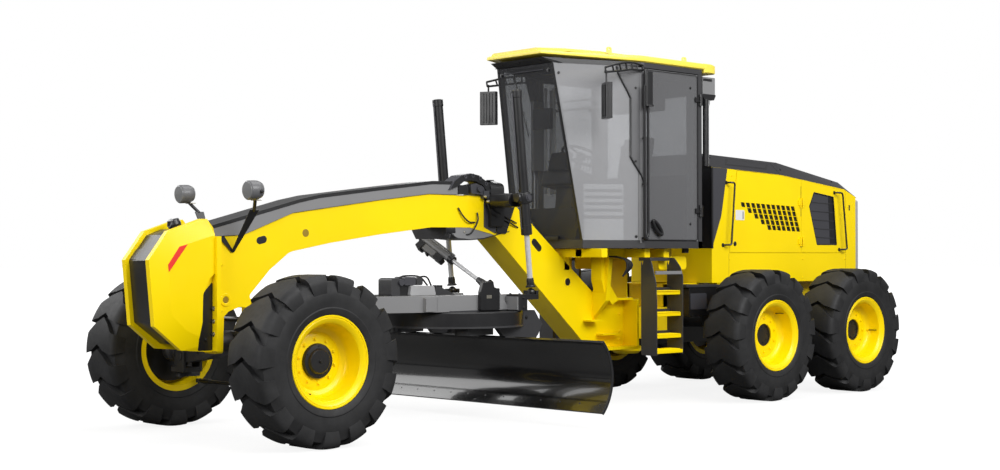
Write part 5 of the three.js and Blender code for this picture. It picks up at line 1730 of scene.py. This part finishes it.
def console():
    z = 1560.4
    body = Shape(BLACK)
    body.prism("x", rounded([(3700, z), (3960, z), (3900, z + 560), (3760, z + 620)], 30), -110, 110)
    body.prism("x", rounded([(3650, z + 560), (3900, z + 520), (3960, z + 640), (3700, z + 720)], 30), -230,
               230)
    body.use(PLASTIC).prism("x", rounded([(3640, z + 700), (3700, z + 700), (3760, z + 860),
                                          (3700, z + 890)], 24), -120, 120)
    column = (Vector((0, 3860, z + 600)), Vector((0, 3990, z + 860)))
    body.use(BLACK).rod(*[tuple(p) for p in column], 34)
    way = (column[1] - column[0]).normalized()
    side = Vector((1, 0, 0))
    up = way.cross(side)
    wheel = [column[1] + 195 * (math.cos(a) * side + math.sin(a) * up) for a in [2 * math.pi * i / 36 for i in range(37)]]
    body.pipe([tuple(p) for p in wheel[:-1]], 15, 10)
    body.pipe([tuple(wheel[-2]), tuple(wheel[0])], 15, 10)
    for a in (0.3, 2.8, 4.7):
        body.pipe([tuple(column[1]), tuple(column[1] + 190 * (math.cos(a) * side + math.sin(a) * up))], 11, 8)
    body.rod(tuple(column[1] - way * 20), tuple(column[1] + way * 16), 48)
    for s in (1, -1):
        body.side = s
        for i in range(5):
            x, y = 190 + 26 * i, 3760 + 16 * i
            body.use(SMOKE).rod((x, y, z + 640), (x + 12, y + 30, z + 800), 5, steps=10)
            body.use(BLACK).ball((x + 12, y + 30, z + 812), 13, 12)
    body.side = 1
    piece("console_body", body, "front_chassis", ["console"], bevel=4)
    inner = Shape(BLACK)
    inner.prism("z", rounded([(-420, 3600), (420, 3600), (640, 4100), (640, 4880), (-640, 4880),
                              (-640, 4100)], 30), z, z + 8)
    inner.box((-420, -210), (3600, 3680), (z, z + 300))
    inner.prism("x", rounded([(3560, z), (3660, z), (3680, z + 330), (3590, z + 340)], 20), -330, 330)
    louvre_box(inner, z)
    inner.use(LABEL)
    for x, y in ((-470, 3960), (-400, 4010), (-560, 4130)):
        inner.rod((x, y, z + 500), (x, y, 3120), 16)
    inner.box((-600, 300), (4180, 4200), (2900, 2925))
    inner.box((-600, 300), (4180, 4200), (2990, 3005))
    inner.use(PALE).box((-640, -600), (3920, 4100), (2300, 3000))
    inner.use(DARK).prism("x", rounded([(4720, 2900), (4900, 2900), (4900, 3180), (4780, 3180)], 20), -300,
                          300)
    inner.use(BLACK).box((-200, 40), (3520, 3560), (2660, 2860))
    piece("cab_interior", inner, "front_chassis", bevel=3)


def louvre_box(inner, z):
    """The cooler housing beside the console: a pale cover with three slots, and a smooth lower lid."""
    inner.side = 1
    inner.use(LABEL).prism("z", [(372, 3640), (560, 3990), (520, 4020), (330, 3670)], z + 260, z + 560)
    inner.prism("z", [(372, 3640), (560, 3990), (520, 4020), (330, 3670)], z + 20, z + 230)
    inner.use(SMOKE)
    for i in range(4):
        low = z + 300 + 62 * i
        inner.prism("z", [(380, 3648), (556, 3976), (560, 3974), (384, 3646)], low, low + 26)
    inner.use(DARK).prism("z", [(372, 3640), (560, 3990), (520, 4020), (330, 3670)], z + 230, z + 260)


# ---------- ladders ----------
def ladders():
    for side, s in SIDES:
        body = Shape(DARK)
        body.side = s
        for y, shape in ((4192, [(604, 480), (800, 480), (800, 1010), (790, 1180), (720, 1418), (640, 1418),
                                 (604, 1300)]),
                         (4572, [(604, 484), (800, 484), (800, 1240), (770, 1330), (690, 1418), (640, 1418), (604, 1300)])):
            body.use(DARK).prism("y", rounded(shape, [10, 10, 60, 60, 10, 10, 60]), y, y + 10)
            body.prism("x", rounded([(y, 500), (y + 34, 500), (y + 34, 1290), (y, 1400)], 4), 600, 606)
        body.use(GREY).prism("x", rounded([(4200, 1258), (4576, 1258), (4576, 1290), (4200, 1290)], 4), 770,
                             790)
        body.use(DARK)
        for z in (650, 860, 1070):
            body.box((606, 640), (4198, 4574), (z, z + 60))
        body.use(YELLOW)
        for z, reach in ((500, 800), (645, 780), (855, 776), (1062, 770)):
            body.prism("y", rounded([(640, z), (reach, z), (reach, z + 34), (640, z + 34)], 3), 4202, 4572)
            for i in range(6):
                body.prism("y", [(652 + 24 * i, z + 34), (664 + 24 * i, z + 34), (658 + 24 * i, z + 42)],
                           4220, 4556)
        body.use(DARK).box((566, 640), (4198, 4574), (1388, 1419))
        body.use(RUBBER)
        if s > 0:
            for i in range(4):
                body.pipe(curve_through([(400 + 8 * i, 3960 + 22 * i, 1430),
                                         (560, 3990 + 26 * i, 1410 - 6 * i),
                                         (596, 4000 + 22 * i, 1330), (560 - 20 * i, 3980 + 20 * i, 1240)], 6), 9, 8)
        piece(f"ladder_{side}_steps", body, "front_chassis", [f"ladder_{side}"], bevel=2)


# ---------- rear chassis ----------
PIN_Y = 4640
HOOD_TOP = ((HOOD_FRONT, 2340), (6480, 2300), (7650, 2180), (HOOD_REAR - 30, 2090))
RIDGE = ((HOOD_FRONT, 2485), (6600, 2443), (7750, 2265), (HOOD_REAR - 5, 2120))
DOOR_SPLIT, DOOR_LOW, DOOR_BACK = 6848, 1470, 7674
HINGE_AXES = (6825, 6865)


def hood_edge(y):
    """Height of the hood's side edge, under its cover."""
    for (y0, z0), (y1, z1) in zip(HOOD_TOP, HOOD_TOP[1:]):
        if y <= y1:
            return z0 + (z1 - z0) * (y - y0) / (y1 - y0)
    return HOOD_TOP[-1][1]


def rear_frame():
    body = Shape(YELLOW)
    body.lathe([(45.4, 585), (110, 585), (110, 939), (45.4, 939), (45.4, 585)], (0, PIN_Y, 0), "z", 48)
    for s in (1, -1):
        body.side = s
        body.prism("x", rounded([(4940, 1158), (4940, 880), (7880, 880), (7880, 1158)], 10), 230, 350,
                   holes=[disc(y, 1010, 44) for y in (5200, 5560, 6650, 7020, 7390)])
        for y0, y1 in ((HOOD_FRONT + 100, HOOD_FRONT + 160), (7780, 7840)):
            body.prism("x", rounded([(y0, 1080), (y1, 1080), (y1, 1158), (y0, 1158)], 4), 340, 540)
        body.hull([(x, y, z) for z in (602, 918) for x, y in ((-20, PIN_Y + 96), (100, PIN_Y + 60),
                                                              (290, 4950), (290, 5000),
                                                             (-20, 5000))])
        for y in (5000, 5090):
            body.bolt((350, y, 940), (1, 0, 0), 14)
            body.bolt((350, y, 1090), (1, 0, 0), 14)
    body.side = 1
    for y in (4940, 5900, 7780):
        body.box((-345, 345), (y, y + 100), (886, 1152))
    body.box((-300, 300), (4940, 5038), (600, 900))
    piece("rear_frame_weldment", body, "rear_chassis", ["rear_frame"], bevel=5)


def tank_and_axle():
    tank = Shape(BLACK)
    tank.prism("x", rounded([(4915, 835), (5400, 835), (5400, 1122), (4915, 1122)], 26), 352, 596)
    tank.use(DARK).prism("x", rounded([(4862, 1122), (5400, 1122), (5400, 1146), (4862, 1146)], 4), 360, 604)
    tank.prism("x", rounded([(4862, 1146), (5100, 1146), (5100, 1150), (4862, 1150)], 0), 380, 540)
    tank.use(SMOKE).prism("x", rounded([(4930, 900), (5180, 900), (5180, 1060), (4930, 1060)], 14), 594, 601)
    for y in (4940, 5280):
        tank.use(BLACK).prism("y", rounded([(356, 826), (604, 826), (604, 842), (356, 842)], 2), y, y + 40)
    tank.use(BLACK).rod((470, 5300, 1146), (470, 5300, 1158), 56)
    piece("side_tank", tank, "rear_chassis", ["fuel_tank"], bevel=4)
    axle = Shape(CASTING)
    axle.lathe([(0, -638), (110, -638), (126, -600), (110, -560), (100, -240), (150, -180), (186, -120),
                (190, 0),
                (186, 120), (150, 180), (100, 240), (110, 560), (126, 600), (110, 638), (0, 638)],
               (0, TANDEM_Y, 760), "x", 56)
    for s in (1, -1):
        axle.box((s * 242, s * 338)[::s], (TANDEM_Y - 118, TANDEM_Y + 118), (780, 879))
    axle.lathe([(0, 0), (120, 0), (112, 40), (60, 60), (0, 64)], (0, TANDEM_Y + 150, 760), "y", 40)
    piece("rear_axle_housing", axle, "rear_chassis", ["rear_axle"], bevel=4)
    for side, s in SIDES:
        case = Shape(BLACK)
        case.side = s
        a, b = MIDDLE_Y, REAR_Y
        line = rounded([(a - 190, 560), (a - 90, 470), (b + 90, 470), (b + 190, 560), (b + 190, 740),
                        (b + 90, 830),
                        (TANDEM_Y + 260, 900), (TANDEM_Y - 260, 900), (a - 90, 830), (a - 190, 740)], 50)
        case.prism("x", line, 642, 828)
        case.use(CASTING).prism("x", rounded([(y, z) for y, z in line[::5]], 20), 826, 834)
        for y in (a, b):
            case.lathe([(0, 820), (150, 820), (150, 850), (128, 870), (120, 968), (0, 968)],
                       (0, y, WHEEL_Z), "x", 48)
            for i in range(8):
                t = 2 * math.pi * i / 8
                case.bolt((850, y + 138 * math.cos(t), WHEEL_Z + 138 * math.sin(t)), (1, 0, 0), 9)
        piece(f"tandem_{side}_case", case, "rear_chassis", [f"tandem_case_{side}"], bevel=5)


# ---------- hood ----------
def hood_shell():
    """The engine housing around its doors: side walls, bulkheads, rear grille and hinges."""
    body = Shape(YELLOW)
    front, rear, half = HOOD_FRONT, HOOD_REAR, HOOD_HALF
    bottom = [(front, SKIRT_Z), (7320, SKIRT_Z), (rear - 50, SKIRT_Z + 108)]
    opening = [(5604, DOOR_LOW - 5), (DOOR_BACK + 5, DOOR_LOW - 5), (DOOR_BACK + 5, hood_edge(7679) - 3),
               (6480, hood_edge(6480) - 3), (5734, hood_edge(5734) - 3)]
    corner = [(5330, 1514), (5478, 1850), (5576, hood_edge(5576) - 1), (5330, hood_edge(5330) - 1)]
    for s in (1, -1):
        body.side = s
        body.use(YELLOW)
        body.prism("x", [*bottom, (rear - 50, 2098), *reversed(HOOD_TOP[:3]), (front, 2339)], half - 8, half,
                   holes=[opening])
        body.use(SMOKE).prism("x", corner, half - 2, half + 2.5)
        body.use(BLACK).box((half - 10, half + 4), (5321, 5346), (1512, 2334))
        body.prism("x", rounded([(7742, 1946), (7762, 1946), (7762, 2004), (7742, 2004)], 4), half - 2,
                   half + 3)
        # inner posts the doors close on
        body.use(YELLOW)
        body.prism("x", [(6780, DOOR_LOW - 4), (6916, DOOR_LOW - 4), (6916, 2200), (6780, 2200)], half - 44,
                   half - 30)
        body.prism("x", [(5590, DOOR_LOW - 30), (7700, DOOR_LOW - 30), (7700, DOOR_LOW + 20),
                         (5590, DOOR_LOW + 20)],
                   half - 30, half - 16)
        for y0, y1 in ((5560, 5640), (7650, 7710)):
            body.prism("x", [(y0, DOOR_LOW - 20), (y1, DOOR_LOW - 20), (y1, 2170), (y0, 2170)], half - 30,
                       half - 16)
        body.use(YELLOW)
        for y in HINGE_AXES:
            for z in (1560, 1980):
                for low in (z - 20.4, z + 60.4):
                    body.prism("z", rounded([(half - 20, y - 7), (half + 20, y - 7), (half + 20, y + 7),
                                             (half - 20, y + 7)],
                                            6), low, low + 20)
                body.rod((half + 13, y, z - 15), (half + 13, y, z + 75), 5, steps=12)
        body.use(YELLOW)
        for y, z in ((5610, 1400), (5610, 1230), (5650, 2262), (7660, 1400), (6870, 1400), (6870, 1200),
                     (7720, 1980)):
            body.bolt((half, y, z), (1, 0, 0), 7)
        # thin dark yellow-brown strips under the door's front and rear edges: painted shade of the seams
        for y, top in ((5598, DOOR_LOW - 12), (DOOR_BACK + 4, DOOR_LOW - 12)):
            body.use(SEAM_SHADE).prism("x", [(y, SKIRT_Z + 4), (y + 3.5, SKIRT_Z + 4), (y + 3.5, top), (y, top)],
                                 half - 2, half + 0.8)
        front_handle(body, 5560, 5590, 2188, 1548, 5502)
    body.side = 1
    body.use(BLACK).prism("y", [(-half + 6, 1512), (half - 6, 1512), (half - 6, 2338), (-half + 6, 2338)],
                          front + 1, front + 14)
    body.use(YELLOW).prism("y", [(-half + 6, SKIRT_Z), (half - 6, SKIRT_Z), (half - 6, 1512),
                                 (-half + 6, 1512)],
                           front + 1, front + 14)
    for x in (-300, 0, 300):
        body.use(SMOKE).prism("y", rounded([(x - 110, 1700), (x + 110, 1700), (x + 110, 2200),
                                            (x - 110, 2200)], 20),
                              front - 6, front + 2)
    hood_rear(body)
    piece("hood_housing", body, "rear_chassis", ["hood_shell"], bevel=1.5)


def front_handle(body, foot_top, out_top, z_top, z_low, foot_low):
    """A long black grab bar bent from one rod: two feet and a straight run standing off the panel."""
    x = HOOD_HALF
    body.use(BLACK)
    run = [(x - 4, foot_top, z_top), (x + 62, foot_top + 10, z_top), (x + 66, out_top + 30, z_top - 4),
           (x + 66, foot_low + 60, z_low + 6), (x + 62, foot_low + 40, z_low), (x - 4, foot_low, z_low - 2)]
    body.pipe(bent(run, 26), 10, 10)
    for y, z in ((foot_top, z_top), (foot_low, z_low - 2)):
        body.lathe([(0, -1), (20, -1), (20, 5), (0, 5)], (x, y, z), "x", 20)


def hood_rear(body):
    """Rear of the hood: a pale frame, dark louvres, lamps each side and a tow bracket."""
    rear, half = HOOD_REAR, HOOD_HALF
    z0, z1 = SKIRT_Z + 110, 2092
    frame_x = half - 3
    body.use(PALE).prism("y", rounded([(-frame_x, z0), (frame_x, z0), (frame_x, 2050), (frame_x - 60, z1),
                                       (-frame_x + 60, z1), (-frame_x, 2050)], 16), rear - 50, rear,
                         holes=[rounded([(-400, z0 + 90), (400, z0 + 90), (400, z1 - 110), (-400, z1 - 110)], 24)])
    body.use(BLACK).box((-410, 410), (rear - 44, rear - 34), (z0 + 80, z1 - 100))
    for i in range(13):
        z = z0 + 110 + 48 * i
        if z + 20 < z1 - 110:
            body.use(SMOKE).hull([(x, y, h) for x in (-400, 400) for y,
                                  h in ((rear - 36, z + 26), (rear - 36, z + 32),
                                                                              (rear - 6, z), (rear - 6, z + 5))])
    for s in (1, -1):
        body.side = s
        body.use(BLACK).box((430, 526), (rear - 6, rear + 10), (1330, 1520))
        body.use(RED).box((440, 516), (rear + 8, rear + 16), (1430, 1510))
        body.use(AMBER).box((440, 516), (rear + 8, rear + 16), (1340, 1420))
        body.use(BLACK).prism("x", rounded([(rear - 60, 900), (rear - 8, 900), (rear - 8, 1160),
                                            (rear - 60, 1160)], 10), 60, 84)
    body.side = 1
    body.use(BLACK).rod((0, rear - 30, 940), (0, rear - 30, 1120), 26)
    body.box((-90, 90), (rear - 60, rear - 8), (1130, 1162))


def hood_doors():
    half = HOOD_HALF
    slant = [(5610, DOOR_LOW), (DOOR_SPLIT - 2, DOOR_LOW), (DOOR_SPLIT - 2, hood_edge(DOOR_SPLIT) - 6),
             (6480, hood_edge(6480) - 6), (5740, hood_edge(5740) - 6)]
    back = [(DOOR_SPLIT + 2, DOOR_LOW), (DOOR_BACK, DOOR_LOW), (DOOR_BACK, hood_edge(DOOR_BACK) - 6),
            (DOOR_SPLIT + 2, hood_edge(DOOR_SPLIT + 2) - 6)]
    holes = []
    for row, count in enumerate((11, 10, 9, 8, 7)):
        z = 1968 - 58 * row
        first = 5838 + 111 * row
        pitch = (6700 + 22 * row - first) / (count - 1)
        for i in range(count):
            y = first + pitch * i
            drop = 0.028 * (y - first)
            holes.append([(y - 42, z + 25 - drop), (y - 22, z - 25 - drop), (y + 42, z - 27 - drop),
                          (y + 22, z + 23 - drop)])
    intake = rounded([(7080, 2134), (7452, 2092), (7512, 1553), (7134, 1553), (6992, 1975)], 10)
    for side, s in SIDES:
        for tag, outline, gaps, axis in (("front", slant, holes, HINGE_AXES[0]),
                                         ("rear", back, [intake], HINGE_AXES[1])):
            door = Shape(YELLOW)
            door.side = s
            door.prism("x", outline, half - 8, half, holes=gaps)
            inner = -1 if tag == "front" else 1
            for z in (1560, 1980):
                near, far = sorted((axis, axis + inner * 36))
                door.prism("x", rounded([(near, z + 1), (far, z + 1), (far, z + 59), (near, z + 59)], 6),
                           half + 1, half + 9)
                door.lathe([(5.6, 0), (10, 0), (10, 60), (5.6, 60), (5.6, 0)], (half + 13, axis, z), "z", 16)
            if tag == "front":
                # black strips along the door's edge at the split between the doors: painted shade of the gap
                for z0, z1 in ((1520, 1556), (1862, 1950), (2062, 2190)):
                    door.use(BLACK).box((half - 4, half + 1), (DOOR_SPLIT - 8, DOOR_SPLIT - 2), (z0, z1))
                door.use(BLACK).prism("x", [(5740, 1660), (6836, 1660), (6836, 2020), (5740, 2020)],
                                      half - 22, half - 14)
                door.use(LABEL).prism("x", rounded([(5712, 1806), (5856, 1806), (5856, 1910), (5712, 1910)],
                                                   8), half - 1, half + 2)
                door.use(PALE).prism("x", rounded([(5822, 1820), (5846, 1820), (5846, 1896), (5822, 1896)],
                                                  2), half + 1, half + 3)
                door.use(BLACK).lathe([(0, 0), (26, 0), (22, 6), (0, 6)], (half - 1, 5700, 1560), "x", 24)
            else:
                rear_intake(door, intake)
                front_handle(door, 7462, 7500, 2136, 1506, 7552)
            piece(f"hood_door_{tag}_{side}_panel", door, f"hood_door_{tag}_{side}",
                  [f"hood_door_{tag}_{side}"], bevel=1.2)


def rear_intake(door, intake):
    """Dark mesh set into the rear door, with a rim and a few cross bars."""
    half = HOOD_HALF
    door.use(SMOKE).prism("x", intake, half - 16, half - 9)
    door.use(BLACK)
    inner = [(7240 + (y - 7240) * 0.955, 1840 + (z - 1840) * 0.965) for y, z in intake]
    door.prism("x", intake, half - 10, half + 1.2, holes=[inner])
    door.prism("x", [(7395, 1570), (7490, 1570), (7440, 2080), (7360, 2090)], half - 9, half - 6)
    for z in (1640, 1735, 1830, 1925, 2020):
        left = 7134 - 142 * min(1.0, (z - 1553) / 422) if z < 1975 else 7010
        door.use(DARK).prism("x", [(left + 20, z), (7460, z - 14), (7460, z - 8), (left + 20, z + 6)],
                             half - 10, half - 3)


def hood_cover():
    half = HOOD_HALF
    body = Shape(COVER)
    side = [(half, y, z + 0.6) for y, z in HOOD_TOP]
    top = [(400, y, z) for y, z in RIDGE]
    low = [(half, y, z) for y, z in HOOD_TOP]
    body.hull([(s * x, y, z) for x, y, z in (*side[:2], *top[:2]) for s in (1, -1)] +
              [(s * (half - 30), y, z) for (_, y, z) in low[:2] for s in (1, -1)])
    body.hull([(s * x, y, z) for x, y, z in (*side[1:3], *top[1:3]) for s in (1, -1)])
    body.hull([(s * x, y, z) for x, y, z in (*side[2:], *top[2:]) for s in (1, -1)])

    def on_slope(y, t, lift=0.0):
        """A point of the sloping flank, t from its lower edge to the ridge."""
        edge, crest = hood_edge(y), ridge_height(y)
        spot = Vector((half - 150 * t, y, edge + (crest - edge) * t))
        return tuple(spot + Vector((crest - edge, 0, 150)).normalized() * lift)

    for s in (1, -1):
        body.side = s
        for corners, paint, lift in ((((5585, 0.28), (6300, 0.30), (6420, 0.80), (5700, 0.80)), BLACK, 1.5),
                                     (((5625, 0.36), (6270, 0.38), (6370, 0.74), (5725, 0.74)), COVER, 3.0),
                                     (((6700, 0.2), (6790, 0.25), (6880, 0.62), (6790, 0.6)), BLACK, 1.5),
                                     (((7360, 0.25), (7440, 0.3), (7500, 0.6), (7420, 0.58)), BLACK, 1.5)):
            body.use(paint)
            low_points = [on_slope(y, t, -2) for y, t in corners]
            high_points = [on_slope(y, t, lift) for y, t in corners]
            body.add([*low_points, *high_points], [(0, 1, 2, 3), (7, 6, 5, 4), (0, 1, 5, 4), (1, 2, 6, 5),
                                                   (2, 3, 7, 6),
                                                   (3, 0, 4, 7)])
        body.use(BLACK)
        for y, t in ((5430, 0.75), (6560, 0.45), (7180, 0.75), (7560, 0.7)):
            body.bolt(on_slope(y, t), tuple(Vector((150, 0, 150)).normalized()), 9)
        body.use(BLACK)
        for y in (6480, 7100):
            a, b = on_slope(y, 0.02, 0.8), on_slope(y, 0.98, 0.8)
            body.pipe([a, b], 3, 6)
    body.side = 1
    body.use(BLACK).lathe([(0, 0), (62, 0), (62, 10), (54, 14), (54, 60), (0, 60)], (-150, 6250, 2440), "z",
                          32)
    piece("hood_top_cover", body, "rear_chassis", ["hood_cover"], bevel=3)


def ridge_height(y):
    for (y0, z0), (y1, z1) in zip(RIDGE, RIDGE[1:]):
        if y <= y1:
            return z0 + (z1 - z0) * (y - y0) / (y1 - y0)
    return RIDGE[-1][1]


def engine():
    body = Shape(CASTING)
    body.box((-330, 330), (5820, 7180), (SKIRT_Z + 2, 1760))
    body.box((-260, 260), (5860, 7100), (1760, 1960))
    body.use(BLACK)
    for i in range(6):
        body.box((-200, 200), (5900 + 200 * i, 6040 + 200 * i), (1960, 2030))
    for s in (1, -1):
        body.side = s
        body.use(DARK).pipe([(300, 5900, 1860), (300, 7050, 1860)], 46, 16)
        for i in range(6):
            body.use(CASTING).pipe([(240, 5960 + 200 * i, 1860), (310, 5960 + 200 * i, 1860)], 34, 12)
    body.side = 1
    piece("engine_core", body, "rear_chassis", ["engine_block"], bevel=4)

wheels()
front_axle()
steering()
front_frame()
beam_cover()
nose()
work_lamps()
saddle()
lift_cylinders()
shift_cylinder()
drawbar()
circle_and_blade()
cab_frame()
cab_glass()
cab_doors()
cab_roof()
mirrors_and_cooler()
seat()
console()
ladders()
rear_frame()
tank_and_axle()
hood_shell()
hood_doors()
hood_cover()
engine()
